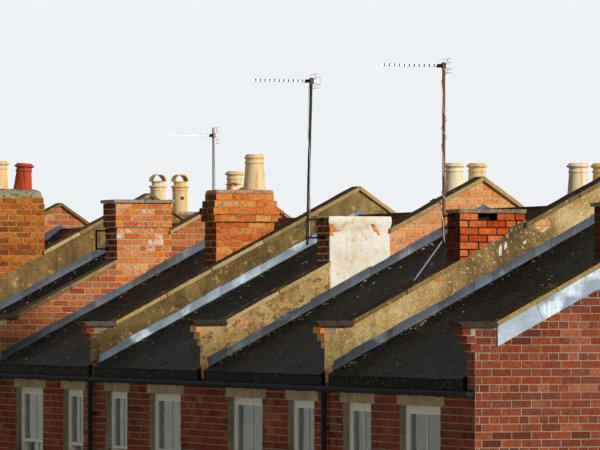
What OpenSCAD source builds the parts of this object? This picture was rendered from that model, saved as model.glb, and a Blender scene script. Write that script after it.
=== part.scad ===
// A row of six two-storey terraced houses. Party walls rise through the slates as parapets
// with stone copings and kneelers, and carry brick chimney stacks with clay pots.
// X runs along the row, the street front faces -Y, Z is up and the ground is at zero.

/* [Row] */
// Distance between the centres of neighbouring party walls
bay_w = 4500; // [4300:50:5000]
// Thickness of a party wall
party_t = 230; // [215:5:300]
// Thickness of the front and rear walls
facade_t = 230; // [215:5:300]

/* [Section] */
// Ridge to the rear wall's outer face
rear_run = 3800; // [3600:50:4200]
// Ridge to the front wall's outer face
front_run = 2995; // [2800:5:3300]
// Slope of the rear roof and coping in degrees
rear_pitch = 27.6; // [25:0.1:32]
// Height of the kneelers' seats above the ground
kneeler_z = 5650; // [5500:10:6000]
// Height from the slates up to the coping's top
parapet_rise = 500; // [420:10:560]
// Thickness of the slated roof, measured upright
roof_v = 130; // [100:5:160]
// How far the slates pass the front and rear walls
eaves_over = 50; // [30:5:80]

/* [Copings and kneelers] */
// Width of the coping across the wall
coping_w = 330; // [310:5:380]
// Thickness of the coping, measured upright
coping_v = 62; // [50:1:68]
// Thickness of a kneeler stone
kneeler_t = 70; // [70:1:90]
// How far a kneeler passes the wall face
kneeler_over = 240; // [220:5:300]
// Wall face to the foot of the sloping coping
kneeler_inset = 235; // [200:5:300]
// Depth of the splay under a kneeler's outer end
kneeler_splay = 35; // [20:1:45]
// Height of one brick course
course_h = 88; // [75:1:90]
// How far each corbel course under a kneeler steps out
corbel_step = 50; // [40:1:57]

/* [Rear stacks] */
// Width of a stack along the house depth
stack_w = 840; // [780:5:900]
// Width of stack 3
stack_3_w = 820; // [780:5:900]
// Width of stack 5
stack_5_w = 805; // [780:5:900]
// Depth along the row of front stacks and of rear stacks 1, 3, 4, 6 and 7
stack_d = 460; // [400:5:560]
// Depth of stack 2 along the row
stack_2_d = 410; // [380:5:500]
// Depth of stack 5 along the row
stack_5_d = 520; // [480:5:640]
// Ridge to the nearer side of stacks 1, 2, 3 and 7
stack_y = 1310; // [1250:5:1400]
// Ridge to the nearer side of stack 4
stack_4_y = 1170; // [1100:5:1300]
// Ridge to the nearer side of stack 5
stack_5_y = 1225; // [1150:5:1300]
// Ridge to the nearer side of stack 6
stack_6_y = 1725; // [1650:5:1800]
// Width of stack 6
stack_6_w = 900; // [860:5:960]
// Top of stacks 1 and 2 above the kneeler seats
low_top = 1365; // [1300:5:1450]
// Top of stack 3 above the kneeler seats
stack_3_top = 1390; // [1300:5:1450]
// Top of stacks 5 and 7 above the kneeler seats
tall_top = 1745; // [1700:5:1850]
// Top of stack 4 above the kneeler seats
stack_4_top = 1795; // [1700:5:1850]
// Top of stack 6 above the kneeler seats
stack_6_top = 1905; // [1850:5:2000]
// Thickness of the stone slabs that cap stacks
cap_t = 48; // [40:1:70]
// How far a stone slab overhangs its stack
cap_over = 40; // [20:1:50]
// How far the slab of stack 2 overhangs it
cap_2_over = 20; // [10:1:50]
// How far the head courses stand out of stacks 5 and 6 and the front stacks
head_out = 25; // [10:1:30]
// How far the band stands out of stack 3
band_out = 15; // [8:1:30]
// How far the widest head course stands out of stack 4
head_4_out = 60; // [40:1:65]
// Height of the head courses of stack 4, which have thick joints
head_4_course = 97; // [85:1:100]
// Length of the slot left by the missing brick in stack 2
slot_w = 240; // [200:5:250]
// How deep the slot goes in
slot_d = 110; // [90:5:150]

/* [Front stacks] */
// Ridge to the middle of front stacks 2 and 6
front_stack_y = 1640; // [1600:5:1750]
// Ridge to the middle of front stack 3
front_stack_3_y = 1615; // [1600:5:1750]
// Ridge to the middle of front stack 4
front_stack_4_y = 1685; // [1600:5:1750]
// Ridge to the middle of front stack 7
front_stack_7_y = 1850; // [1800:5:1950]
// Top of front stacks 2 and 3 above the kneeler seats
front_low_top = 1580; // [1550:5:1700]
// Top of front stack 4 above the kneeler seats
front_4_top = 1700; // [1650:5:1800]
// Top of front stack 6 above the kneeler seats
front_6_top = 1805; // [1750:5:1850]
// Top of front stack 7 above the kneeler seats
front_7_top = 1745; // [1700:5:1850]
// Distance between the two pots of front stacks 2, 3, 4 and 6
pot_spacing = 345; // [325:5:400]
// Distance between the two pots of rear stack 6 and of front stack 7
wide_spacing = 380; // [345:5:400]

/* [Fireplaces] */
// Width of a chimney breast
breast_w = 1150; // [1000:10:1300]
// Depth of a chimney breast in the room
breast_d = 350; // [300:5:400]
// Height at which a breast begins to narrow
breast_top = 4300; // [4200:10:4500]
// Height of the seat where a stack crosses its party wall
seat_z = 5050; // [4950:10:5150]

/* [Pots] */
// Height of a roll-top pot
pot_h = 495; // [440:5:540]
// Height of the buff pot on rear stack 6
pot_6_h = 430; // [400:5:480]
// Height of the red pot on rear stack 6
red_pot_h = 400; // [380:5:480]
// How much stouter the pot on rear stack 4 is than the others
pot_4_stout = 12; // [0:1:15]
// Nearer side of stack 4 to the foot of its pot
pot_4_edge = 45; // [20:1:90]
// Foot of the pot on stack 4 to the hat of its vent pot
vent_gap = 42; // [20:1:60]
// Radius of a roll-top pot's foot
pot_foot_r = 148; // [140:1:158]
// Radius of a roll-top pot's neck
pot_neck_r = 117; // [110:1:122]
// Radius of a roll-top pot's rolled rim
pot_roll_r = 152; // [145:1:160]
// Radius of the flue through a pot
pot_bore_r = 92; // [80:1:100]
// Lean of the red pot in degrees
pot_lean = 4; // [0:0.5:5]
// Height of a hooded pot up to the springing of its hood
hooded_h = 500; // [460:5:560]
// Radius of a hooded pot's body
hooded_r = 123; // [118:1:130]
// Outer radius of the half-round hood
hood_r = 118; // [112:1:120]
// Thickness of the hood
hood_t = 18; // [14:1:24]
// Length of the hood along the row
hood_len = 230; // [200:5:260]
// Radius of the low vent pot
vent_r = 62; // [55:1:70]
// Radius of the conical hat on the vent pot
hat_r = 112; // [90:1:114]
// Height of the mortar flaunching on a stack
flaunch_h = 50; // [40:1:70]
// Height of the domed flaunching on stack 6
dome_h = 135; // [80:1:140]

/* [Storeys] */
// Thickness of the ground floor
ground_t = 150; // [120:5:200]
// Ground to the upper side of the first floor
first_z = 2950; // [2800:10:3050]
// Thickness of the first floor
first_t = 220; // [180:5:260]
// Width of the wide windows
window_w = 1250; // [1100:10:1350]
// Width of the narrow windows
narrow_w = 900; // [700:10:1000]
// Height of the windows
window_h = 1500; // [1300:10:1560]
// Ground to the heads of the ground-floor windows
low_head_z = 2400; // [2300:10:2450]
// Level of the first floor to the heads of its windows
high_head_rise = 1800; // [1700:10:1820]
// Width of a door opening
door_w = 950; // [900:10:1050]
// Height of the fanlight over a front door
fanlight_h = 250; // [200:10:280]
// Middle of a bay to the middle of its door
door_x = 1300; // [1200:10:1450]
// Middle of a bay to the middle of its wide window
window_x = 700; // [650:10:800]
// Height of a stone lintel
lintel_h = 175; // [150:5:200]
// How far a lintel or sill bears on the wall at each end
bearing = 110; // [75:5:150]
// Height of a stone sill
sill_h = 90; // [75:5:110]
// How far a sill stands out of the wall
sill_out = 50; // [35:5:70]
// How far a doorstep stands out of the wall
step_out = 300; // [250:10:350]

/* [Joinery] */
// Wall face to the joinery
reveal = 75; // [60:5:100]
// Depth of window and door frames
frame_d = 90; // [80:5:100]
// Face width of window and door frames
frame_w = 55; // [45:1:65]
// Face width of a sash
sash_w = 42; // [36:1:50]
// Thickness of a sash
sash_t = 38; // [34:1:40]
// Thickness of the glass
glass_t = 6; // [4:1:8]
// Height of a door leaf
leaf_h = 1940; // [1900:5:1950]
// Thickness of a door leaf
leaf_t = 44; // [40:1:50]
// Depth of the sunk panels in a door leaf
panel_sink = 9; // [6:1:12]

/* [Roof details] */
// Height of the lead flashing on the parapets
flashing_h = 160; // [120:5:200]
// Thickness of the lead
lead_t = 6; // [5:1:8]
// Height of the lead that clads the first party wall
cladding_h = 240; // [200:5:280]
// Length of each wing of a ridge tile
ridge_wing = 170; // [140:5:200]
// Thickness of a ridge tile
ridge_t = 20; // [16:1:26]
// Radius of the roll on a ridge tile
ridge_roll_r = 28; // [24:1:34]
// Outer radius of a gutter
gutter_r = 58; // [50:1:62]
// Thickness of the gutter iron
gutter_t = 6; // [5:1:8]
// Wall face to the middle of a gutter
gutter_y = 66; // [64:1:80]
// Slabs' lower edge down to the rim of a gutter
rim_drop = 12; // [8:1:20]
// Radius of a downpipe
downpipe_r = 34; // [30:1:38]
// Width of the straps that hold a downpipe
strap_w = 90; // [80:1:110]
// Height of the straps that hold a downpipe
strap_h = 40; // [30:1:50]

/* [Aerials] */
// Radius of an aerial mast
mast_r = 19; // [15:1:22]
// Stack face to the middle of the mast on stack 2
mast_off = 130; // [110:5:160]
// Stack face to the middle of the mast on front stack 6
mast_6_off = 100; // [90:5:160]
// Stack face to the foot of the mast on stack 3, which leans towards the ridge
mast_3_off = 225; // [190:5:250]
// How far the top of mast 3 leans towards the ridge
mast_3_lean = 60; // [0:5:80]
// Top of the masts on stacks 2 and 3 above the kneeler seats
mast_top = 3190; // [3000:10:3300]
// Foot of the masts on stacks 2 and 3 above the kneeler seats
mast_foot = 1030; // [980:10:1060]
// Top of the mast on front stack 6 above the kneeler seats
far_mast_top = 3030; // [2900:10:3150]
// Length of an aerial's boom
boom_len = 900; // [700:10:1000]
// Length of an aerial's reflector rods
element_len = 300; // [240:10:360]
// Length of the reflector rods on mast 3
long_element = 350; // [300:10:400]
// Length of an aerial's directors
director_len = 150; // [120:5:200]
// Radius of the stay that runs from the foot of mast 2 down to the slates
stay_r = 9; // [7:1:12]
// Mast 2 to the lower end of its stay, measured down the roof
stay_run = 700; // [600:10:760]
// Mast 2 to the lower end of its stay, measured along the row
stay_side = 450; // [280:10:500]
// Height of the empty mast bracket on stack 5
empty_bracket_h = 265; // [240:5:340]

/* [Hidden] */
$fn = 48;

// The row has six bays, as far as the view of it reaches
bays = 6;
row_len = bays * bay_w + party_t;
clear_w = bay_w - party_t;

// Both slopes start at the ridge, and the coping's feet stand on the kneelers
rear_slope = tan(rear_pitch);
coping_rise = (rear_run - kneeler_inset) * rear_slope;
front_slope = coping_rise / (front_run - kneeler_inset);
apex_z = kneeler_z + kneeler_t + coping_rise;

// The origin lies under the middle of the row's outline
rear_reach = rear_run + kneeler_over;
front_reach = front_run + max(kneeler_over, step_out);
ridge_y = (front_reach - rear_reach) / 2;

// The parapets are not all built to one height: this lifts a wall's coping and kneelers
lifts = [0, 0, 0, 0, -30, 60, 65, 0];
function lift(wall) = lifts[wall];

function slope(y) = y > 0 ? rear_slope : front_slope;
function coping_z(y) = apex_z - abs(y) * slope(y);
function slate_z(y) = coping_z(y) - parapet_rise;
function lining_z(y) = slate_z(y) - roof_v;
function near_x(wall) = (wall - 1 - bays / 2) * bay_w - party_t / 2;
function far_x(wall) = near_x(wall) + party_t;
function bay_x(bay) = (bay - (bays + 1) / 2) * bay_w;

// Points of a band that follows both slopes, from its upper to its lower height
function chevron(front_y, rear_y, upper, lower) = [
    [rear_y, coping_z(rear_y) - upper], [0, apex_z - upper],
    [-front_y, coping_z(-front_y) - upper], [-front_y, coping_z(-front_y) - lower],
    [0, apex_z - lower], [rear_y, coping_z(rear_y) - lower]];

// A section across the house, drawn in Y and Z and run along X
module along_row(x, length) {
    translate([x, ridge_y, 0]) rotate([90, 0, 90]) linear_extrude(length) children();
}

// An elevation drawn in X and Z, with its outer face at zero and its depth inwards
module upright(depth) {
    translate([0, depth, 0]) rotate([90, 0, 0]) linear_extrude(depth) children();
}
module on_front() { translate([0, ridge_y - front_run, 0]) children(); }
module on_rear() { translate([0, ridge_y + rear_run, 0]) mirror([0, 1, 0]) children(); }

// Foot of the sloping coping, cut square to its slope
function foot_y(run) = run - kneeler_inset;
function seat_y(run, s) = foot_y(run) - coping_v * s / (1 + s * s);
function foot_drop(s) = coping_v / (1 + s * s);

// Outline of one end of a party wall, from the ground up to the foot of the coping
function wall_end(run, s, side, base) = [
    [run - facade_t, 0], [run - facade_t, lining_z(side * (run - facade_t))],
    [run, lining_z(side * run)],
    for (n = [0:2]) for (k = [0, 1])
        [run + (n + k) * corbel_step, base - (3 - n) * course_h],
    [run + 3 * corbel_step, base], [seat_y(run, s), base],
    [seat_y(run, s), base + kneeler_t - foot_drop(s)]];
function flipped(points) = [for (i = [len(points) - 1:-1:0]) [-points[i][0], points[i][1]]];

// Where each stack stands: ridge to its nearer side, width, depth and top
function rear_y0(wall) = wall == 4 ? stack_4_y : wall == 5 ? stack_5_y
    : wall == 6 ? stack_6_y : stack_y;
function rear_w(wall) = wall == 3 ? stack_3_w : wall == 5 ? stack_5_w
    : wall == 6 ? stack_6_w : stack_w;
function rear_top(wall) = kneeler_z + (wall < 3 ? low_top : wall == 3 ? stack_3_top
    : wall == 4 ? stack_4_top : wall == 6 ? stack_6_top : tall_top);
function rear_face(wall) = rear_y0(wall) + rear_w(wall);
function front_mid(wall) = wall == 3 ? front_stack_3_y : wall == 4 ? front_stack_4_y
    : wall == 7 ? front_stack_7_y : front_stack_y;
function front_top(wall) = kneeler_z + (wall <= 3 ? front_low_top : wall == 4 ? front_4_top
    : wall == 6 ? front_6_top : front_7_top);
front_walls = [2, 3, 4, 6, 7];

// Stack 4 stands behind its wall and stack 7 inside the end wall, the rest cross their walls
function stack_x(wall, behind) = wall > bays ? far_x(wall) - stack_d
    : behind ? far_x(wall) : near_x(wall);
function rear_d(wall) = wall == 2 ? stack_2_d : wall == 5 ? stack_5_d : stack_d;
function breast_x(wall) = wall > bays ? near_x(wall) - breast_d : far_x(wall);

// The room that a stack takes from the wall, the coping and the slates
module stack_block(wall, y0, width, depth, behind) {
    translate([stack_x(wall, behind), ridge_y + y0, seat_z])
        cube([depth, width, 2 * (apex_z - seat_z)]);
}
module rear_block(wall) {
    stack_block(wall, rear_y0(wall), rear_w(wall), rear_d(wall), wall == 4);
}
module front_block(wall) {
    stack_block(wall, -front_mid(wall) - stack_w / 2, stack_w, stack_d, false);
}
module breast_block(wall, mid, height) {
    translate([breast_x(wall), ridge_y + mid - breast_w / 2, -1])
        cube([breast_d, breast_w, height + 1]);
}
module blocks(wall) {
    rear_block(wall);
    for (w = front_walls) if (w == wall) front_block(w);
}

// A stack from the ground up: breast, shoulders, the crossing of the wall and the shaft.
// Head courses are listed from the top down as height and projection.
module stack(wall, y0, width, depth, top, behind, head) {
    mid = y0 + width / 2;
    along_row(breast_x(wall), breast_d) polygon([
        [mid - breast_w / 2, 0], [mid + breast_w / 2, 0], [mid + breast_w / 2, breast_top],
        [y0 + width, seat_z], [y0, seat_z], [mid - breast_w / 2, breast_top]]);
    translate([stack_x(wall, behind), ridge_y + y0, seat_z]) cube([depth, width, top - seat_z]);
    for (n = [0:len(head) - 1]) if (head[n][1] > 0) {
        out = head[n][1];
        translate([stack_x(wall, behind) - out, ridge_y + y0 - out, top - head_depth(head, n)])
            cube([depth + 2 * out, width + 2 * out, head[n][0]]);
    }
}
function head_depth(head, n) = head[n][0] + (n > 0 ? head_depth(head, n - 1) : 0);
module rear_stack(wall, head) {
    stack(wall, rear_y0(wall), rear_w(wall), rear_d(wall), rear_top(wall), wall == 4, head);
}
plain_head = [[course_h, 0]];

module party_wall(wall) {
    base = kneeler_z + lift(wall);
    color("sienna") difference() {
        along_row(near_x(wall), party_t) polygon(concat(
            wall_end(rear_run, rear_slope, 1, base), [[0, apex_z + lift(wall) - coping_v]],
            flipped(wall_end(front_run, front_slope, -1, base))));
        blocks(wall);
    }
}
module party_wall_1() { party_wall(1); }
module party_wall_2() { party_wall(2); }
module party_wall_3() { party_wall(3); }
module party_wall_4() { party_wall(4); }
module party_wall_5() { party_wall(5); }
module party_wall_6() { party_wall(6); }
module party_wall_7() { party_wall(7); }

// Front and rear walls, with one row of openings on each storey.
// A window is its left edge, sill height, width and height; a door its left edge, width, height.
function hand(bay) = bay % 2 == 0 ? 1 : -1;
low_sill_z = low_head_z - window_h;
high_sill_z = first_z + high_head_rise - window_h;
front_windows = [for (bay = [1:bays]) for (k = [0:2]) k == 0
    ? [bay_x(bay) + hand(bay) * window_x - window_w / 2, low_sill_z, window_w, window_h]
    : k == 1 ? [bay_x(bay) + hand(bay) * window_x - window_w / 2, high_sill_z, window_w, window_h]
    : [bay_x(bay) - hand(bay) * door_x - narrow_w / 2, high_sill_z, narrow_w, window_h]];
rear_windows = front_windows;
function doors_of(height) = [for (bay = [1:bays])
    [bay_x(bay) - hand(bay) * door_x - door_w / 2, door_w, height]];
front_doors = doors_of(ground_t + leaf_h + fanlight_h + 2 * frame_w);
rear_doors = doors_of(ground_t + leaf_h + frame_w);

module facade(run, side, windows, door_list) {
    difference() {
        upright(facade_t) difference() {
            translate([-row_len / 2, 0]) square([row_len, lining_z(side * (run - facade_t))]);
            for (w = windows) {
                translate([w[0], w[1]]) square([w[2], w[3]]);
                translate([w[0] - bearing, w[1] + w[3]]) square([w[2] + 2 * bearing, lintel_h]);
                translate([w[0] - bearing, w[1] - sill_h]) square([w[2] + 2 * bearing, sill_h]);
            }
            for (d = door_list) {
                translate([d[0], -1]) square([d[1], d[2] + 1]);
                translate([d[0] - bearing, d[2]]) square([d[1] + 2 * bearing, lintel_h]);
            }
        }
        translate([-row_len, 0, 0]) rotate([90, 0, 90]) linear_extrude(2 * row_len) polygon([
            [0, lining_z(side * run)], [facade_t, lining_z(side * (run - facade_t))],
            [facade_t, apex_z], [-facade_t, apex_z],
            [-facade_t, 2 * lining_z(side * run) - lining_z(side * (run - facade_t))]]);
    }
}
module front_wall() {
    color("firebrick") on_front() facade(front_run, -1, front_windows, front_doors);
}
module rear_wall() {
    color("firebrick") on_rear() facade(rear_run, 1, rear_windows, rear_doors);
}

module rear_stack_1() { color("chocolate") rear_stack(1, plain_head); }
slot_y = stack_y + 1.5 * slot_w;
module rear_stack_2() {
    color("chocolate") difference() {
        rear_stack(2, plain_head);
        translate([near_x(2) - 1, ridge_y + slot_y, rear_top(2) - course_h])
            cube([slot_d + 1, slot_w, course_h + 1]);
    }
}
// The limewashed stack ends in a projecting band
band_h = 1.3 * course_h;
module rear_stack_3() { color("linen") rear_stack(3, [[band_h, band_out]]); }
// Three courses stand out at the head of stack 4, below a plain one
head_4_shares = [0, 0.5, 1, 0.7];
module rear_stack_4() {
    color("orangered") rear_stack(4, [for (share = head_4_shares)
        [head_4_course, share * head_4_out]]);
}
module rear_stack_5() { color("orangered") rear_stack(5, [[4 * course_h, head_out]]); }
module rear_stack_6() {
    color("orangered") rear_stack(6, [[course_h, 0], [8 * course_h, head_out / 2]]);
}
module rear_stack_7() { color("chocolate") rear_stack(7, plain_head); }

module front_stacks() {
    color("chocolate") for (wall = front_walls)
        stack(wall, -front_mid(wall) - stack_w / 2, stack_w, stack_d, front_top(wall), false,
            [[2 * course_h, head_out]]);
}

// Copings run over the ridge, with gaps where stacks cross them
function coping_x(wall) = near_x(wall) - (coping_w - party_t) / 2;
module copings() {
    color("darkkhaki") for (wall = [1:bays + 1]) difference() {
        translate([0, 0, lift(wall)]) along_row(coping_x(wall), coping_w) polygon([
            [foot_y(rear_run), kneeler_z + kneeler_t], [0, apex_z],
            [-foot_y(front_run), kneeler_z + kneeler_t],
            [-seat_y(front_run, front_slope), kneeler_z + kneeler_t - foot_drop(front_slope)],
            [0, apex_z - coping_v],
            [seat_y(rear_run, rear_slope), kneeler_z + kneeler_t - foot_drop(rear_slope)]]);
        blocks(wall);
    }
}
function kneeler_side(run, s) = [
    [run + kneeler_over, kneeler_z + kneeler_t], [foot_y(run), kneeler_z + kneeler_t],
    [seat_y(run, s), kneeler_z + kneeler_t - foot_drop(s)], [seat_y(run, s), kneeler_z],
    [run + kneeler_over - 1.5 * kneeler_splay, kneeler_z],
    [run + kneeler_over - 1.5 * kneeler_splay, kneeler_z + kneeler_t - kneeler_splay]];
module kneelers() {
    color("gray") for (wall = [1:bays + 1])
        translate([0, 0, lift(wall)]) along_row(coping_x(wall), coping_w) {
            polygon(kneeler_side(rear_run, rear_slope));
            polygon(flipped(kneeler_side(front_run, front_slope)));
        }
}

// Floors fill each bay between the walls, round the chimney breasts
module breasts() {
    for (wall = [1:bays + 1]) {
        breast_block(wall, rear_y0(wall) + rear_w(wall) / 2, breast_top);
        for (w = front_walls) if (w == wall) breast_block(w, -front_mid(w), breast_top);
    }
}
module floors(top, thickness) {
    difference() {
        for (bay = [1:bays])
            translate([far_x(bay), ridge_y - front_run + facade_t, top - thickness])
                cube([clear_w, front_run + rear_run - 2 * facade_t, thickness]);
        breasts();
    }
}
module ground_floors() { color("dimgray") floors(ground_t, ground_t); }
module first_floors() { color("burlywood") floors(first_z, first_t); }

// Slated slopes between the parapets, meeting at the ridge
module roof_slope(points) {
    difference() {
        for (bay = [1:bays]) along_row(far_x(bay), clear_w) polygon(points);
        for (wall = [1:bays + 1]) blocks(wall);
    }
}
module rear_roof_slopes() {
    color("darkslategray") roof_slope([
        [0, slate_z(0)], [rear_run + eaves_over, slate_z(rear_run + eaves_over)],
        [rear_run + eaves_over, lining_z(rear_run + eaves_over)], [0, lining_z(0)]]);
}
module front_roof_slopes() {
    color("darkslategray") roof_slope([
        [0, slate_z(0)], [0, lining_z(0)],
        [-front_run - eaves_over, lining_z(-front_run - eaves_over)],
        [-front_run - eaves_over, slate_z(-front_run - eaves_over)]]);
}
module ridge_tiles() {
    color("indianred") for (bay = [1:bays])
        along_row(far_x(bay) + lead_t, clear_w - 2 * lead_t) {
            polygon(chevron(ridge_wing, ridge_wing, parapet_rise - ridge_t, parapet_rise));
            translate([0, slate_z(0) + ridge_t]) difference() {
                circle(ridge_roll_r);
                translate([-ridge_roll_r, -2 * ridge_roll_r - ridge_t])
                    square([2 * ridge_roll_r, 2 * ridge_roll_r]);
            }
        }
}

// Lead runs up both faces of each parapet from the slates
module flashings() {
    color("lightsteelblue") difference() {
        union() {
            for (wall = [2:bays + 1]) along_row(near_x(wall) - lead_t, lead_t)
                polygon(chevron(front_run, rear_run, parapet_rise - flashing_h, parapet_rise));
            for (wall = [1:bays]) along_row(far_x(wall), lead_t)
                polygon(chevron(front_run, rear_run, parapet_rise - flashing_h, parapet_rise));
            along_row(near_x(1) - lead_t, lead_t) polygon(chevron(foot_y(front_run) - 2 * coping_v,
                foot_y(rear_run) - 2 * coping_v, coping_v, coping_v + cladding_h));
        }
        for (wall = [1:bays + 1]) blocks(wall);
    }
}

// Stone slabs on the capped stacks. Stack 5 has a joint between two slabs.
module cap_slab(wall, over, front, length) {
    translate([stack_x(wall, false) - over, ridge_y + rear_y0(wall) - over + front, rear_top(wall)])
        cube([rear_d(wall) + 2 * over, length, cap_t]);
}
cap_joint = 8;
module stack_caps() {
    wide = cap_over + head_out;
    half = (stack_5_w + 2 * wide - cap_joint) / 2;
    color("tan") {
        for (wall = [1, 7]) cap_slab(wall, cap_over, 0, stack_w + 2 * cap_over);
        cap_slab(2, cap_2_over, 0, stack_w + 2 * cap_2_over);
        for (part = [0, 1]) cap_slab(5, wide, part * (half + cap_joint), half);
    }
}

// Mortar sloping up to the pots, cut from two crossing profiles
flaunch_spread = 1.05;
module flaunching(wall, y0, width, top, behind, out, rise) {
    x0 = stack_x(wall, behind) - out;
    long = width + 2 * out;
    deep = stack_d + 2 * out;
    run = flaunch_spread * rise;
    translate([x0, ridge_y + y0 - out, top]) intersection() {
        rotate([90, 0, 90]) linear_extrude(deep)
            polygon([[0, 0], [long, 0], [long - run, rise], [run, rise]]);
        translate([0, long, 0]) rotate([90, 0, 0]) linear_extrude(long)
            polygon([[0, 0], [deep, 0], [deep - run, rise], [run, rise]]);
    }
}
module flaunchings() {
    color("darkgray") {
        flaunching(4, rear_y0(4), stack_w, rear_top(4), true, 0, flaunch_h);
        flaunching(6, rear_y0(6), stack_6_w, rear_top(6), false, 0, dome_h);
        for (wall = front_walls)
            flaunching(wall, -front_mid(wall) - stack_w / 2, stack_w, front_top(wall), false,
                head_out, flaunch_h);
    }
}

// A turned pot with a foot band, a neck ring and a rolled rim
module roll_top_pot(height, stout = 0) {
    foot = pot_foot_r + 3 * stout / 4;
    neck = pot_neck_r + stout / 2;
    roll = pot_roll_r - stout;
    rotate_extrude() difference() {
        union() {
            polygon([[0, 0], [foot, 0], [foot, 30], [foot - 8, 38], [neck, height - 118],
                [neck, height], [0, height]]);
            translate([neck - 4, height - 112]) circle(14);
            polygon([[0, height - 62], [neck, height - 62], [roll, height - 46],
                [roll, height - 34], [roll - 22, height - 22], [neck - 4, height], [0, height]]);
        }
        translate([0, -1]) square([pot_bore_r, height + 2]);
    }
}
// A pot with a ring at its shoulder under a half-round hood that is open at both ends
module hooded_pot() {
    neck_z = hooded_h - 95;
    bore_r = hood_r - hood_t - 12;
    difference() {
        union() {
            rotate_extrude() polygon([[0, 0], [hooded_r, 0], [hooded_r, neck_z - 60],
                [hooded_r + 7, neck_z - 54], [hooded_r + 7, neck_z - 40], [hooded_r, neck_z - 34],
                [hooded_r, neck_z - 22], [hooded_r + 28, neck_z], [hooded_r + 28, neck_z + 12],
                [hood_r - 20, neck_z + 34], [hood_r - 20, hooded_h - 30], [hood_r, hooded_h],
                [0, hooded_h]]);
            translate([-hood_len / 2, 0, hooded_h]) rotate([90, 0, 90])
                linear_extrude(hood_len) difference() {
                    circle(hood_r);
                    circle(hood_r - hood_t);
                    translate([-hood_r, -2 * hood_r]) square([2 * hood_r, 2 * hood_r]);
                }
        }
        translate([0, 0, -1]) cylinder(h = hooded_h + 1, r = bore_r);
    }
}
function stack_mid_x(wall, behind) = stack_x(wall, behind) + stack_d / 2;
function rear_mid_x(wall) = stack_x(wall, wall == 4) + rear_d(wall) / 2;
module pot_at(wall, mid, base, spacing, side) {
    translate([stack_mid_x(wall, false), ridge_y + mid + side * spacing / 2, base]) children();
}
module front_pots(wall) {
    color("wheat") for (side = [-1, 1])
        pot_at(wall, -front_mid(wall), front_top(wall) + flaunch_h, pot_spacing, side)
            roll_top_pot(pot_h);
}
// The pot on stack 4 stands off the middle, and leaves room for the vent pot
pot_4_foot = pot_foot_r + 3 * pot_4_stout / 4;
pot_4_y = stack_4_y + pot_4_edge + pot_4_foot;
vent_y = pot_4_y + pot_4_foot + vent_gap + hat_r;
module pots_rear_4() {
    color("wheat") translate([stack_mid_x(4, true), ridge_y + pot_4_y, rear_top(4) + flaunch_h])
        roll_top_pot(pot_h, pot_4_stout);
}
// The low vent pot carries a conical hat on four posts
module vent_terminal() {
    post = 14;
    body_h = 55;
    gap = 22;
    wall_t = post + 2;
    color("indianred") translate([stack_mid_x(4, true), ridge_y + vent_y,
        rear_top(4) + flaunch_h]) {
        rotate_extrude() polygon([[vent_r - wall_t, 0], [vent_r, 0], [vent_r, body_h],
            [vent_r - wall_t, body_h]]);
        for (turn = [45:90:315]) rotate([0, 0, turn])
            translate([vent_r - wall_t + 1, -post / 2, body_h - 1]) cube([post, post, gap + 2]);
        translate([0, 0, body_h + gap])
            rotate_extrude() polygon([[0, 0], [hat_r, 0], [hat_r, 6], [0, 2 * post]]);
    }
}
module pots_rear_6() {
    mid = stack_6_y + stack_6_w / 2;
    sunk = 20;
    color("wheat") pot_at(6, mid, rear_top(6) + dome_h, wide_spacing, 1) roll_top_pot(pot_6_h);
    color("firebrick") pot_at(6, mid, rear_top(6) + dome_h, wide_spacing, -1) difference() {
        rotate([pot_lean, 0, 0]) translate([0, 0, -sunk]) roll_top_pot(red_pot_h + sunk);
        translate([-2 * pot_foot_r, -2 * pot_foot_r, -5 * sunk])
            cube([4 * pot_foot_r, 4 * pot_foot_r, 5 * sunk]);
    }
}
module pots_front_2() { front_pots(2); }
module pots_front_3() { front_pots(3); }
module pots_front_4() { front_pots(4); }
module pots_front_6() { front_pots(6); }
// The hooded pot nearer the street has a square hole in its body
hole_w = 52;
module hooded_pots() {
    color("goldenrod") for (side = [-1, 1])
        pot_at(7, -front_mid(7), front_top(7) + flaunch_h, wide_spacing, side) difference() {
            hooded_pot();
            if (side < 0) translate([-hooded_r - 1, -hole_w / 2, hooded_h / 2 - hole_w])
                cube([hooded_r, hole_w, hole_w]);
        }
}

// Masts stand off the rear faces of their stacks on two brackets, a plate with an arm each
bracket_bar = 24;
plate_t = 6;
module bracket(reach) {
    translate([-2.5 * bracket_bar, 0, -bracket_bar])
        cube([5 * bracket_bar, plate_t, 2 * bracket_bar]);
    translate([-bracket_bar / 2, 0, -bracket_bar / 2]) cube([bracket_bar, reach, bracket_bar]);
}
// A bracket is its height above the kneeler seats and how far its seat stands out of the face.
// A mast that leans does so towards the ridge, and its brackets reach just past it.
module mast(x, face_y, off, lean, foot, top, brackets) {
    angle = atan(lean / (top - foot));
    translate([x, ridge_y + face_y + off, kneeler_z + foot]) rotate([angle, 0, 0])
        cylinder(h = (top - foot) / cos(angle), r = mast_r);
    for (b = brackets) translate([x, ridge_y + face_y + b[1], kneeler_z + b[0]])
        bracket(off - b[1] + bracket_bar - (b[0] - foot) * tan(angle));
}
// A strap is left below the brackets of stack 2, and passes the stack's nearer corner
strap_up = 85;
module strap() {
    translate([near_x(2) - bracket_bar, ridge_y + rear_face(2),
        kneeler_z + mast_foot + strap_up - bracket_bar / 2])
        cube([stack_2_d / 2 + bracket_bar, plate_t, bracket_bar]);
}
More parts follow.
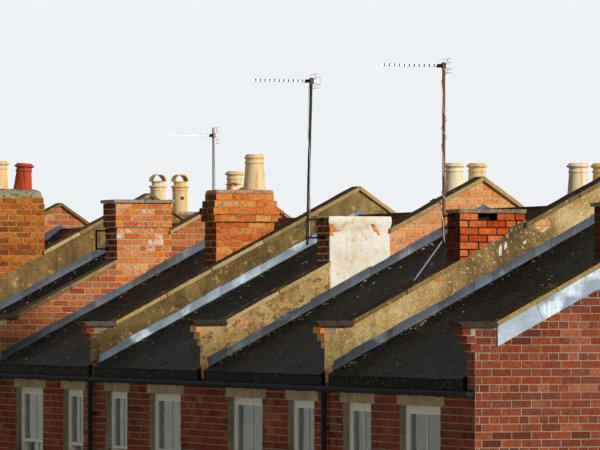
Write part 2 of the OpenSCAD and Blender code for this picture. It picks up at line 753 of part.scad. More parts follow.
// A stay runs from the foot of mast 2 down to the slates and ends on a plate
module stay(x, from_y, from_z) {
    seat = slate_z(from_y + stay_run);
    run = [stay_side, stay_run, seat + bracket_bar / 2 - from_z];
    translate([x, ridge_y + from_y, from_z]) rotate([0, acos(run[2] / norm(run)),
        atan2(run[1], run[0])]) cylinder(h = norm(run), r = stay_r);
    translate([x + stay_side, ridge_y + from_y + stay_run, seat]) rotate([-rear_pitch, 0, 0])
        translate([-2 * bracket_bar, -2 * bracket_bar, 0])
            cube([4 * bracket_bar, 4 * bracket_bar, plate_t]);
}
// An empty bracket for a mast is left on the rear face of stack 5, at its far corner
module empty_bracket() {
    off = 1.2 * mast_off;
    z = rear_top(5) - 4 * course_h - 2 * bracket_bar;
    translate([stack_x(5, false) + stack_5_d - 3 * bracket_bar, ridge_y + rear_face(5), z]) {
        bracket(off + bracket_bar);
        translate([0, 0, -empty_bracket_h]) bracket(off + bracket_bar);
        translate([-bracket_bar / 2, off, -empty_bracket_h])
            cube([bracket_bar, bracket_bar, empty_bracket_h]);
    }
}
// The upper brackets sit just under the slab of stack 2, on the band of stack 3 and under the
// head of front stack 6
front_6_face = -front_mid(6) + stack_w / 2;
below_slab = bracket_bar + plate_t;
brackets_2 = [[low_top - below_slab, 0], [low_top - 2 * course_h, 0]];
brackets_3 = [[stack_3_top - below_slab, band_out], [stack_3_top - 3 * course_h, 0]];
brackets_6 = [for (n = [3, 5]) [front_6_top - n * course_h, 0]];
mast_6_foot = front_6_top - 6 * course_h;
module aerial_masts() {
    color("saddlebrown") {
        mast(rear_mid_x(2), rear_face(2), mast_off, 0, mast_foot, mast_top, brackets_2);
        mast(rear_mid_x(3), rear_face(3), mast_3_off, mast_3_lean, mast_foot, mast_top,
            brackets_3);
        mast(stack_mid_x(6, false), front_6_face, mast_6_off, 0, mast_6_foot, far_mast_top,
            brackets_6);
        strap();
        stay(rear_mid_x(2), rear_face(2) + mast_off, kneeler_z + mast_foot + mast_r);
        empty_bracket();
    }
}
// A square boom with directors in clips, a dipole with its box, and a reflector of rods on
// upright struts, clamped beside the mast
boom_t = 21;
rod_t = 8;
clip_t = 3;
boom_back = 80;
directors = 13;
// Half heights of the reflectors on masts 2, 3 and 6
reflector_2 = 85;
reflector_3 = 90;
reflector_6 = 125;
module rods(length, rises) {
    for (z = rises) translate([-length / 2, 0, z - rod_t / 2]) cube([length, rod_t, rod_t]);
}
module aerial_head(x, y, z, length, reflector, half_h, struts) {
    pitch = length / (directors + 1);
    translate([x + mast_r, ridge_y + y - boom_back, kneeler_z + z]) {
        translate([0, 0, -boom_t / 2]) cube([boom_t, length, boom_t]);
        translate([boom_t / 2, 0, 0]) {
            for (n = [3:directors]) translate([0, n * pitch, 0]) {
                rods(director_len, [boom_t / 2]);
                translate([-boom_t / 2 - clip_t, -clip_t, -boom_t / 2 - clip_t])
                    cube([boom_t + 2 * clip_t, rod_t + 2 * clip_t, boom_t + 2 * clip_t]);
            }
            translate([0, 2 * pitch, 0]) {
                rods(4 * director_len / 3, [boom_t / 2]);
                translate([-1.5 * boom_t, -boom_t, -boom_t])
                    cube([3 * boom_t, 2.6 * boom_t, 2 * boom_t]);
            }
            translate([0, rod_t, 0]) {
                rods(reflector, [-half_h, -half_h / 2, half_h / 2, half_h]);
                for (share = struts)
                    translate([share * (reflector - rod_t) / 2 - rod_t / 2, 0, -half_h])
                        cube([rod_t, rod_t, 2 * half_h]);
            }
        }
    }
}
module aerial_heads() {
    high = mast_top - 2 * boom_t;
    color("silver") {
        aerial_head(rear_mid_x(2), rear_face(2) + mast_off, high, boom_len, element_len,
            reflector_2, [0]);
        aerial_head(rear_mid_x(3), rear_face(3) + mast_3_off - mast_3_lean, high, boom_len,
            long_element, reflector_3, [-1, 0, 1]);
        aerial_head(stack_mid_x(6, false), front_6_face + mast_6_off, far_mast_top - 6 * boom_t,
            0.85 * boom_len, element_len, reflector_6, [0]);
    }
}

// Half-round gutters on brackets, with stop ends and a spigot over each downpipe
pipe_walls = [2, 4, 6];
spigot_h = 60;
gutter_bracket = 30;
module lower_half(r) {
    difference() {
        circle(r);
        translate([-r, 0]) square(2 * r);
    }
}
module gutter(run, side) {
    rim_z = lining_z(side * (run + eaves_over)) - rim_drop;
    translate([-row_len / 2, -gutter_y, rim_z]) rotate([90, 0, 90]) {
        linear_extrude(row_len) difference() {
            lower_half(gutter_r);
            circle(gutter_r - gutter_t);
        }
        for (x = [0, row_len - gutter_t]) translate([0, 0, x])
            linear_extrude(gutter_t) lower_half(gutter_r);
    }
    for (bay = [1:bays]) for (k = [-1, 0, 1])
        translate([bay_x(bay) + k * clear_w / 3 - gutter_bracket / 2,
            gutter_r - gutter_y - gutter_t, rim_z - 1.5 * gutter_bracket])
            cube([gutter_bracket, gutter_y - gutter_r + gutter_t, 1.3 * gutter_bracket]);
    for (wall = pipe_walls)
        translate([near_x(wall) + party_t / 2, -gutter_y, rim_z - gutter_r - spigot_h])
            cylinder(h = spigot_h + gutter_t, r = downpipe_r);
}
module gutters() {
    color("dimgray") {
        on_front() gutter(front_run, -1);
        on_rear() gutter(rear_run, 1);
    }
}
shoe_z = 90;
module downpipe(run, side) {
    top = lining_z(side * (run + eaves_over)) - rim_drop - gutter_r - spigot_h;
    for (wall = pipe_walls) translate([near_x(wall) + party_t / 2, -gutter_y, shoe_z]) {
        cylinder(h = top - shoe_z, r = downpipe_r);
        for (share = [0.08, 0.5, 0.92])
            translate([-strap_w / 2, 0, share * (top - shoe_z) - strap_h / 2])
                cube([strap_w, gutter_y, strap_h]);
    }
}
module downpipes() {
    color("dimgray") {
        on_front() downpipe(front_run, -1);
        on_rear() downpipe(rear_run, 1);
    }
}

// A sliding sash window: box frame, outer upper sash and inner lower sash
module ring(x, z, w, h, edge) {
    difference() {
        translate([x, z]) square([w, h]);
        translate([x + edge, z + edge]) square([w - 2 * edge, h - 2 * edge]);
    }
}
sash_y = reveal + (frame_d - 2 * sash_t) / 2;
module window_frame(w) {
    inner_w = w[2] - 2 * frame_w;
    half_h = (w[3] - 2 * frame_w + sash_w) / 2;
    translate([0, reveal, 0]) upright(frame_d) ring(w[0], w[1], w[2], w[3], frame_w);
    translate([0, sash_y, 0]) upright(sash_t)
        ring(w[0] + frame_w, w[1] + w[3] - frame_w - half_h, inner_w, half_h, sash_w);
    translate([0, sash_y + sash_t, 0]) upright(sash_t)
        ring(w[0] + frame_w, w[1] + frame_w, inner_w, half_h, sash_w);
}
module window_panes(w) {
    pane_w = w[2] - 2 * frame_w - 2 * sash_w;
    pane_h = (w[3] - 2 * frame_w + sash_w) / 2 - 2 * sash_w;
    for (k = [0, 1])
        translate([w[0] + frame_w + sash_w, sash_y + (1 - k) * sash_t + (sash_t - glass_t) / 2,
            w[1] + frame_w + sash_w + k * (pane_h + sash_w)])
            cube([pane_w, glass_t, pane_h]);
}
module window_frames() {
    color("ivory") {
        on_front() for (w = front_windows) window_frame(w);
        on_rear() for (w = rear_windows) window_frame(w);
    }
}
module window_glass() {
    color("lightblue") {
        on_front() { for (w = front_windows) window_panes(w); for (d = front_doors) fanlight(d); }
        on_rear() for (w = rear_windows) window_panes(w);
    }
}

// Four-panel doors stand on the doorsteps in rebated frames
module door_frame(d) {
    leaf_w = d[1] - 2 * frame_w;
    light_h = d[2] - ground_t - leaf_h - 2 * frame_w;
    translate([0, reveal, 0]) upright(frame_d) difference() {
        translate([d[0], ground_t]) square([d[1], d[2] - ground_t]);
        translate([d[0] + frame_w, ground_t]) square([leaf_w, leaf_h]);
        if (light_h > 4 * frame_w / 3) translate([d[0] + frame_w, ground_t + leaf_h + frame_w])
            square([leaf_w, light_h]);
    }
}
module fanlight(d) {
    translate([d[0] + frame_w, reveal + (frame_d - glass_t) / 2, ground_t + leaf_h + frame_w])
        cube([d[1] - 2 * frame_w, glass_t, d[2] - ground_t - leaf_h - 2 * frame_w]);
}
module door_leaf(d) {
    leaf_w = d[1] - 2 * frame_w;
    stile = 110;
    panel_w = (leaf_w - 3 * stile) / 2;
    low_h = 620;
    high_h = leaf_h - low_h - 3.5 * stile;
    translate([d[0] + frame_w, reveal + (frame_d - leaf_t) / 2, ground_t]) difference() {
        cube([leaf_w, leaf_t, leaf_h]);
        for (k = [0, 1]) translate([stile + k * (panel_w + stile), -1, 0]) {
            translate([0, 0, 1.5 * stile]) cube([panel_w, panel_sink + 1, low_h]);
            translate([0, 0, 2.5 * stile + low_h]) cube([panel_w, panel_sink + 1, high_h]);
        }
    }
}
module doors() {
    color("darkgreen") {
        on_front() for (d = front_doors) door_leaf(d);
        on_rear() for (d = rear_doors) door_leaf(d);
    }
}
module door_frames() {
    color("ivory") {
        on_front() for (d = front_doors) door_frame(d);
        on_rear() for (d = rear_doors) door_frame(d);
    }
}

// Stone lintels as deep as the wall, and sills that stand out of it
module lintel(x, z, w) {
    translate([x - bearing, 0, z]) cube([w + 2 * bearing, facade_t, lintel_h]);
}
module sill(w) {
    translate([w[0] - bearing, -sill_out, w[1] - sill_h])
        cube([w[2] + 2 * bearing, facade_t + sill_out, sill_h]);
}
module dressings(windows, door_list) {
    for (w = windows) { lintel(w[0], w[1] + w[3], w[2]); sill(w); }
    for (d = door_list) lintel(d[0], d[2], d[1]);
}
module stone_dressings() {
    color("tan") {
        on_front() dressings(front_windows, front_doors);
        on_rear() dressings(rear_windows, rear_doors);
    }
}
module doorsteps() {
    color("gray") {
        on_front() for (d = front_doors) translate([d[0], -step_out, 0])
            cube([d[1], step_out + facade_t, ground_t]);
        on_rear() for (d = rear_doors) translate([d[0], -step_out, 0])
            cube([d[1], step_out + facade_t, ground_t]);
    }
}

front_wall();
rear_wall();
party_wall_1();
party_wall_2();
party_wall_3();
party_wall_4();
party_wall_5();
party_wall_6();
party_wall_7();
rear_stack_1();
rear_stack_2();
rear_stack_3();
rear_stack_4();
rear_stack_5();
rear_stack_6();
rear_stack_7();
front_stacks();
copings();
kneelers();
ground_floors();
first_floors();
rear_roof_slopes();
front_roof_slopes();
ridge_tiles();
flashings();
stack_caps();
flaunchings();
pots_rear_4();
vent_terminal();
pots_rear_6();
pots_front_2();
pots_front_3();
pots_front_4();
pots_front_6();
hooded_pots();
aerial_masts();
aerial_heads();
gutters();
downpipes();
window_frames();
window_glass();
doors();
door_frames();
stone_dressings();
doorsteps();
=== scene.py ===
import math
import random

import bmesh
import bpy
from mathutils import Matrix, Vector, noise


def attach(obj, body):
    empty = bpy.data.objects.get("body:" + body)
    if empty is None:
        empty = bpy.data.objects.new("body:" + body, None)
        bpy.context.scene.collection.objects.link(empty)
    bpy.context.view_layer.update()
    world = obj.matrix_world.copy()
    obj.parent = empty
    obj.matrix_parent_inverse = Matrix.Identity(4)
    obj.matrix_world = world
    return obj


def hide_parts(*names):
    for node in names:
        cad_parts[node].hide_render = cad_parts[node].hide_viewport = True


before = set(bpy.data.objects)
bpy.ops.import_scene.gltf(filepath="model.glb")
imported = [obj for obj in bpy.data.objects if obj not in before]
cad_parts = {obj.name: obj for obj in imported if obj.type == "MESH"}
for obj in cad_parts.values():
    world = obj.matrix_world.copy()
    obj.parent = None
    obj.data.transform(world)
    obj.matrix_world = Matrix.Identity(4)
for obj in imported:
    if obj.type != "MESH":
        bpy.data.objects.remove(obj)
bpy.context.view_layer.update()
noise.seed_set(5)  # without a seed the noise vectors differ from run to run
print("frame loaded")

# sizes that the dressing shares with the solids, in metres; y is measured from the ridge
row = {
    "bays": 6, "bayWidth": 4.5, "wallThick": 0.23, "rearRun": 3.8, "frontRun": 2.995,
    "rearPitch": math.radians(27.6), "kneelerZ": 5.65, "kneelerThick": 0.07, "kneelerInset": 0.235,
    "kneelerOver": 0.24, "parapetRise": 0.5, "slabThick": 0.13, "eavesOver": 0.05, "stepOut": 0.3,
    "copingWidth": 0.33, "copingThick": 0.062, "course": 0.088, "corbelStep": 0.05,
    "lifts": {4: -0.03, 5: 0.06, 6: 0.065},
}
bays, walls = range(1, row["bays"] + 1), range(1, row["bays"] + 2)
# the rear is side 1 and the front is side -1; a run goes from the ridge to the wall's face
runs = {1: row["rearRun"], -1: row["frontRun"]}
copingRise = (runs[1] - row["kneelerInset"]) * math.tan(row["rearPitch"])
slopes = {sign: copingRise / (run - row["kneelerInset"]) for sign, run in runs.items()}
kneelerZ, course = row["kneelerZ"], row["course"]
apexZ = kneelerZ + row["kneelerThick"] + copingRise
ridgeY = (runs[-1] + row["stepOut"] - runs[1] - row["kneelerOver"]) / 2
squareAxes = (Vector((1, 0, 0)), Vector((0, 1, 0)), Vector((0, 0, 1)))
upward = squareAxes[2]


def at(x, y, z):
    return Vector((x, ridgeY + y, z))


def clamp(value):
    return max(0, min(1, value))


def copingZ(y):
    return apexZ - abs(y) * slopes[1 if y > 0 else -1]


def slateZ(y):
    return copingZ(y) - row["parapetRise"]


def liftOf(wall):
    return row["lifts"].get(wall, 0.0)


def nearX(wall):
    return (wall - 1 - row["bays"] / 2) * row["bayWidth"] - row["wallThick"] / 2


def farX(wall):
    return nearX(wall) + row["wallThick"]


def middleX(wall):
    return nearX(wall) + row["wallThick"] / 2


def bayX(bay):
    return (bay - (row["bays"] + 1) / 2) * row["bayWidth"]


# rear stacks: near side, top and head courses from the top down; front ones: middle and top
stackSizes = {
    "depth": 0.46, "width": 0.84, "headOut": 0.025,
    "rear": {
        1: (1.31, 1.365, ()), 2: (1.31, 1.365, ()), 3: (1.31, 1.39, ((1.3 * course, 0.015),)),
        4: (1.17, 1.795, ((0.097, 0), (0.097, 0.03), (0.097, 0.06), (0.097, 0.042))),
        5: (1.225, 1.745, ((4 * course, 0.025),)),
        6: (1.725, 1.905, ((course, 0), (8 * course, 0.0125))), 7: (1.31, 1.745, ()),
    },
    "rearDepth": {2: 0.41, 5: 0.52}, "rearWidth": {3: 0.82, 5: 0.805, 6: 0.90},
    "front": {2: (1.64, 1.58), 3: (1.615, 1.58), 4: (1.685, 1.7), 6: (1.64, 1.805),
              7: (1.85, 1.745)},
}


def stackPlace(side, wall):
    width, depth = stackSizes["width"], stackSizes["depth"]
    if side == "front":
        middle, top = stackSizes["front"][wall]
        y0, head = -middle - width / 2, ((2 * course, stackSizes["headOut"]),)
    else:
        y0, top, head = stackSizes["rear"][wall]
        width = stackSizes["rearWidth"].get(wall, width)
        depth = stackSizes["rearDepth"].get(wall, depth)
    behind = (side, wall) == ("rear", 4)
    x0 = farX(wall) - depth if wall > row["bays"] else farX(wall) if behind else nearX(wall)
    return {"x0": x0, "x1": x0 + depth, "y0": y0, "y1": y0 + width, "x": x0 + depth / 2,
            "y": y0 + width / 2, "top": kneelerZ + top, "head": head, "crosses": not behind}


stacks = {(side, wall): stackPlace(side, wall) for side in ("rear", "front")
          for wall in stackSizes[side]}


# whether a rectangle on the roof runs into a stack
def meetsStack(x0, x1, y0, y1):
    return any(x0 < s["x1"] and x1 > s["x0"] and y0 < s["y1"] and y1 > s["y0"]
               for s in stacks.values())


# where stacks cross a wall on one slope, as distances from the ridge
def stackGaps(wall, sign):
    return sorted(sorted((abs(s["y0"]), abs(s["y1"]))) for (_, w), s in stacks.items()
                  if w == wall and s["crosses"] and s["y0"] * sign > 0)


def linear(colour):
    parts = [int(colour[i:i + 2], 16) / 255 for i in (0, 2, 4)]
    return [p / 12.92 if p <= 0.04045 else ((p + 0.055) / 1.055) ** 2.4 for p in parts] + [1]


# settings that many nodes share
rgba, single, addition = {"data_type": "RGBA"}, {"data_type": "FLOAT"}, {"operation": "ADD"}
multiply = {"data_type": "RGBA", "blend_type": "MULTIPLY"}


def addNode(tree, kind, sockets=None, settings=None, stops=()):
    node = tree.nodes.new("ShaderNode" + kind)
    for key, value in (settings or {}).items():
        setattr(node, key, value)
    for key, value in (sockets or {}).items():
        if isinstance(value, bpy.types.NodeSocket):
            tree.links.new(value, node.inputs[key])
        else:
            node.inputs[key].default_value = value
    for i, (place, colour) in enumerate(stops):
        elements = node.color_ramp.elements
        element = elements[i] if i < len(elements) else elements.new(1)
        element.position, element.color = place, linear(colour)
    return node


def startMaterial(name, roughness, metallic=0.0):
    material = bpy.data.materials.new(name)
    material.use_nodes = True
    tree = material.node_tree
    tree.nodes.clear()
    shine = 0.5 if metallic or roughness < 0.5 else 0.02
    shader = addNode(tree, "BsdfPrincipled", {"Roughness": roughness, "Metallic": metallic,
                                              "Specular IOR Level": shine})
    addNode(tree, "OutputMaterial", {"Surface": shader.outputs[0]})
    return material, tree, shader


# gives a material's shader its finished colour and its relief
def joinShader(tree, shader, colour, relief, strength, depth):
    bump = addNode(tree, "Bump", {"Height": relief, "Strength": strength, "Distance": depth})
    tree.links.new(colour, shader.inputs["Base Color"])
    tree.links.new(bump.outputs[0], shader.inputs["Normal"])


# grit sinks pits into the surface, and the pits are darkened as painted shade; real grit is too
# fine to show from 60 m off, so it is drawn 15 to 25 mm wide, which a noise scale of 70 to 40 gives
def joinGrittyShader(tree, shader, place, colour, scale, pitShade, strength, depth):
    grit = addNode(tree, "TexNoise",
                   {"Vector": place, "Scale": scale, "Detail": 7, "Roughness": 0.75})
    pitShades = addNode(tree, "ValToRGB", {"Fac": grit.outputs["Fac"]},
                   stops=[(0.36, pitShade), (0.5, "FFFFFF")])
    pitShaded = addNode(tree, "Mix", {0: 1.0, 6: colour, 7: pitShades.outputs[0]}, multiply)
    joinShader(tree, shader, pitShaded.outputs[2], grit.outputs["Fac"], strength, depth)


# fired clay bricks: matt, each with its own tone, mottled by the kiln, with lime bloom and soot,
# and painted shade on the side away from the light
def brickMaterial(name, palette, bloom, soot=0.35, sideShade=0.0):
    material, tree, shader = startMaterial(name, 0.93)
    place = addNode(tree, "TexCoord").outputs["Object"]
    tone = addNode(tree, "Attribute", settings={"attribute_name": "tone"})
    lime = addNode(tree, "Attribute", settings={"attribute_name": "lime"})
    stops = [(i / (len(palette) - 1), colour) for i, colour in enumerate(palette)]
    base = addNode(tree, "ValToRGB", {"Fac": tone.outputs["Fac"]}, stops=stops)
    mottle = addNode(tree, "TexNoise",
                     {"Vector": place, "Scale": 21, "Detail": 7, "Roughness": 0.7})
    shade = addNode(tree, "ValToRGB", {"Fac": mottle.outputs["Fac"]},
                    stops=[(0.3, "A8A09C"), (0.5, "F4F4F4"), (0.72, "FFFFFF")])
    mixed = addNode(tree, "Mix", {0: 1.0, 6: base.outputs[0], 7: shade.outputs[0]}, multiply)
    # bloom spreads from noise spots where the attribute is high
    spots = addNode(tree, "TexNoise",
                    {"Vector": place, "Scale": 13, "Detail": 9, "Roughness": 0.75})
    raised = addNode(tree, "Math", {0: spots.outputs["Fac"], 1: lime.outputs["Fac"]}, addition)
    cover = addNode(tree, "MapRange", {"Value": raised.outputs[0], 1: 0.82, 2: 0.98})
    limed = addNode(tree, "Mix", {0: cover.outputs[0], 6: mixed.outputs[2], 7: linear(bloom)},
                    rgba)
    # soot and damp lie in clouds about half a metre wide
    cloud = addNode(tree, "TexNoise",
                    {"Vector": place, "Scale": 1.7, "Detail": 5, "Roughness": 0.6})
    dark = addNode(tree, "MapRange", {"Value": cloud.outputs["Fac"], 1: 0.5, 2: 0.72, 4: soot})
    aged = addNode(tree, "Mix", {0: dark.outputs[0], 6: limed.outputs[2], 7: linear("4A3A32")},
                   rgba)
    # painted shade: faces that look towards +y, away from the light, are blackened
    facing = addNode(tree, "SeparateXYZ", {0: addNode(tree, "NewGeometry").outputs["Normal"]})
    shadedSide = addNode(tree, "MapRange", {"Value": facing.outputs[1], 1: 0.6, 2: 0.9, 4: sideShade})
    smoked = addNode(tree, "Mix", {0: shadedSide.outputs[0], 6: aged.outputs[2], 7: linear("1C1614")},
                     rgba)
    joinGrittyShader(tree, shader, place, smoked.outputs[2], 55, "A08878", 0.5, 0.003)
    return material


# mortar, render, stone and slate: tones in clouds, spots of another colour, a gritty surface
def mineralMaterial(name, tones, spotColour, spotSize, spotCover, roughness=0.92, grain=70,
                    depth=0.004, streaks=None, topShadeColour=None, useTone=0.0, bloom=None,
                    pitShade="8E8478"):
    material, tree, shader = startMaterial(name, roughness)
    place = addNode(tree, "TexCoord").outputs["Object"]
    cloud = addNode(tree, "TexNoise",
                    {"Vector": place, "Scale": 3.1, "Detail": 9, "Roughness": 0.68})
    level = cloud.outputs["Fac"]
    if useTone:
        tone = addNode(tree, "Attribute", settings={"attribute_name": "tone"}).outputs["Fac"]
        level = addNode(tree, "Mix", {0: useTone, 2: level, 3: tone}, single).outputs[0]
    stops = [(0.28 + 0.44 * i / (len(tones) - 1), colour) for i, colour in enumerate(tones)]
    colour = addNode(tree, "ValToRGB", {"Fac": level}, stops=stops).outputs[0]
    if streaks:
        stretched = addNode(tree, "Mapping", {"Vector": place, "Scale": (7, 7, 0.9)})
        run = addNode(tree, "TexNoise", {"Vector": stretched.outputs[0], "Scale": 1.6,
                                         "Detail": 6, "Roughness": 0.65})
        cover = addNode(tree, "MapRange", {"Value": run.outputs["Fac"], 1: 0.5, 2: 0.68,
                                           4: streaks[1]})
        colour = addNode(tree, "Mix", {0: cover.outputs[0], 6: colour, 7: linear(streaks[0])},
                         rgba).outputs[2]
    spots = addNode(tree, "TexNoise", {"Vector": place, "Scale": 0.55 / spotSize, "Detail": 5,
                                       "Roughness": 0.7})
    cover = addNode(tree, "MapRange", {"Value": spots.outputs["Fac"], 1: 0.72 - spotCover,
                                       2: 0.8 - spotCover})
    colour = addNode(tree, "Mix", {0: cover.outputs[0], 6: colour, 7: linear(spotColour)},
                     rgba).outputs[2]
    if bloom:
        lime = addNode(tree, "Attribute", settings={"attribute_name": "lime"}).outputs["Fac"]
        runs = addNode(tree, "TexNoise",
                       {"Vector": place, "Scale": 24, "Detail": 6, "Roughness": 0.7})
        raised = addNode(tree, "Math", {0: runs.outputs["Fac"], 1: lime}, addition)
        cover = addNode(tree, "MapRange", {"Value": raised.outputs[0], 1: 0.84, 2: 0.94})
        colour = addNode(tree, "Mix", {0: cover.outputs[0], 6: colour, 7: linear(bloom)},
                         rgba).outputs[2]
    # painted shade: faces that look up get a darker top colour in ragged patches, standing in for
    # the shade on the tops
    if topShadeColour:
        up = addNode(tree, "SeparateXYZ", {0: addNode(tree, "NewGeometry").outputs["Normal"]})
        ragged = addNode(tree, "TexNoise", {"Vector": place, "Scale": 11, "Detail": 6})
        soft = addNode(tree, "Math", {0: up.outputs[2], 1: ragged.outputs["Fac"]}, addition)
        cover = addNode(tree, "MapRange", {"Value": soft.outputs[0], 1: 1.12, 2: 1.34, 4: 0.9})
        colour = addNode(tree, "Mix", {0: cover.outputs[0], 6: colour, 7: linear(topShadeColour)},
                         rgba).outputs[2]
    joinGrittyShader(tree, shader, place, colour, grain, pitShade, 0.6, depth)
    return material


def startMesh(*layers):
    bm = bmesh.new()
    for layer in layers or ("tone",):
        bm.faces.layers.float.new(layer)
    return bm


def startBricks():
    return startMesh("tone", "lime")


def paintFaces(bm, faces, **shares):
    for name, share in shares.items():
        layer = bm.faces.layers.float[name]
        for face in faces:
            face[layer] = share


# adds a finished part to its piece
def gather(big, bm, tone=None):
    if tone is not None:
        paintFaces(bm, bm.faces, tone=tone)
    mesh = bpy.data.meshes.new("part")
    bm.to_mesh(mesh)
    bm.free()
    big.from_mesh(mesh)
    bpy.data.meshes.remove(mesh)


def finishPiece(name, bm, material, slot, replaced=(), smoothAngle=None):
    mesh = bpy.data.meshes.new(name)
    bm.to_mesh(mesh)
    bm.free()
    if smoothAngle:
        mesh.shade_smooth()
        mesh.set_sharp_from_angle(angle=math.radians(smoothAngle))
    mesh.materials.append(material)
    piece = bpy.data.objects.new(name, mesh)
    bpy.context.scene.collection.objects.link(piece)
    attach(piece, "root")
    if replaced:
        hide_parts(*replaced)


def addBlock(bm, centre, size, axes=squareAxes):
    matrix = Matrix([axis * length for axis, length in zip(axes, size)]).transposed().to_4x4()
    if matrix.determinant() < 0:
        matrix.col[0] = -matrix.col[0]
    matrix = Matrix.Translation(centre) @ matrix
    return bmesh.ops.create_cube(bm, size=1, matrix=matrix)["verts"]


def bevel(bm, edges, offset, segments=1):
    bmesh.ops.bevel(bm, geom=edges, offset=offset, offset_type="OFFSET", segments=segments,
                    profile=0.5, affect="EDGES", material=-1)


def roundEdges(bm, offset, segments=2, angle=40):
    bevel(bm, [edge for edge in bm.edges if edge.is_manifold
               and edge.calc_face_angle() > math.radians(angle)], offset, segments)


def subdivide(bm, cuts, edges=None):
    bmesh.ops.subdivide_edges(bm, edges=edges or bm.edges[:], cuts=cuts, use_grid_fill=True)


def startCube(cuts):
    bm = startMesh()
    bmesh.ops.create_cube(bm, size=1)
    subdivide(bm, cuts)
    return bm


def mendNormals(bm):
    bmesh.ops.recalc_face_normals(bm, faces=bm.faces[:])


# pushes a face or a sheet along a vector into a solid
def pushFaces(bm, faces, push):
    made = bmesh.ops.extrude_face_region(bm, geom=faces)["geom"]
    moved = [part for part in made if isinstance(part, bmesh.types.BMVert)]
    bmesh.ops.translate(bm, vec=push, verts=moved)
    mendNormals(bm)


def extrudeOutline(bm, points, push):
    pushFaces(bm, [bm.faces.new([bm.verts.new(point) for point in points])], push)


# roughens a mesh so that nothing weathered is quite flat
def roughen(bm, amount, scale, seed=0.0):
    bm.normal_update()
    shift = Vector((seed, 0, 0))
    moves = [(vert, vert.normal * noise.fractal(vert.co * scale + shift, 0.8, 2, 3))
             for vert in bm.verts]
    for vert, move in moves:
        vert.co += move * amount


def gatherStone(big, bm, rng, edge, rough, scale, seed=0.0, segments=2):
    roundEdges(bm, edge, segments)
    roughen(bm, rough, scale, seed)
    gather(big, bm, rng.random())


# bricks: sizes, how far they stand out of the solids, and the least length and height that is laid
brick = {"length": 0.24, "joint": 0.011, "depth": 0.105, "proud": 0.004, "sunk": 0.016,
         "edge": 0.003, "turn": 0.006, "waver": 0.0012, "least": (0.035, 0.025)}


def paintBrick(bm, verts, centre, rng, limeAt):
    tone = 0.5 + 0.5 * noise.noise(centre * 1.1) + rng.uniform(-0.42, 0.42)
    paintFaces(bm, {face for vert in verts for face in vert.link_faces}, tone=clamp(tone),
               lime=limeAt(centre) if limeAt else 0)


# what is left of a rectangle on a wall once a hole is taken out of it
def cutRect(rect, hole):
    a, b, z0, z1 = rect
    c, d, h0, h1 = hole
    if c >= b or d <= a or h0 >= z1 or h1 <= z0:
        return [rect]
    left = [(a, min(b, c), z0, z1)] if c > a else []
    right = [(max(a, d), b, z0, z1)] if d < b else []
    middle = [(max(a, c), min(b, d), low, high) for low, high in ((z0, h0), (h1, z1)) if high > low]
    return left + middle + right


# one face of a wall: its foot, the way out, heights, and spans along it at a height
def layPanel(big, origin, out, z0, z1, spansAt, holes=(), seed=1, limeAt=None, headers=0):
    rng = random.Random(seed)
    along = squareAxes[1 if out.x else 0]
    joint = brick["joint"]
    number = math.floor(z0 / course)
    while number * course < z1 - 0.02:
        low, high = max(number * course, z0), min((number + 1) * course, z1)
        bm, edges = startBricks(), []
        header = headers and number % headers == 0
        length = brick["length"] / (2 if header else 1)
        shift = length / 4 if header else length / 2 * (number % 2)
        near = [hole for hole in holes if hole[2] < high and hole[3] > low]
        rects = []
        for u0, u1 in spansAt((low + high) / 2):
            first, last = math.floor((u0 - shift) / length), math.ceil((u1 - shift) / length)
            for k in range(first, last):
                a, b = k * length + shift, (k + 1) * length + shift
                left = [(max(u0, a), min(u1, b), low, high)]
                for hole in near:
                    left = [part for rect in left for part in cutRect(rect, hole)]
                rects += left
        for a, b, za, zb in rects:
            if b - a < brick["least"][0] or zb - za < brick["least"][1]:
                continue
            proud = brick["proud"] + rng.uniform(-1, 1) * brick["waver"]
            thick = proud + brick["sunk"]
            centre = origin + along * ((a + b) / 2) + out * (proud - thick / 2)
            centre += upward * ((za + zb) / 2)
            verts = addBlock(bm, centre, (b - a - joint, thick, zb - za - joint),
                             (along, out, upward))
            paintBrick(bm, verts, centre, rng, limeAt)
            front = {vert for vert in verts if (vert.co - centre).dot(out) > 0}
            edges += {edge for vert in front for edge in vert.link_edges
                      if front.issuperset(edge.verts)}
        if edges:
            bevel(bm, edges, brick["edge"])
        gather(big, bm)
        number += 1


def layOne(bm, centre, size, rng, limeAt=None):
    shift = Vector((rng.uniform(-1, 1), rng.uniform(-1, 1), 0)) * brick["waver"]
    centre = Vector(centre) + shift
    turn = Matrix.Rotation(rng.uniform(-1, 1) * brick["turn"], 3, "Z")
    verts = addBlock(bm, centre, size, [turn @ axis for axis in squareAxes])
    paintBrick(bm, verts, centre, rng, limeAt)


# cuts a run of wall into bricks, whole ones first from its far end
def cutRun(a, b):
    cuts = [b]
    while cuts[-1] - brick["length"] > a + 0.07:
        cuts.append(cuts[-1] - brick["length"])
    return list(zip(cuts[1:] + [a], cuts))


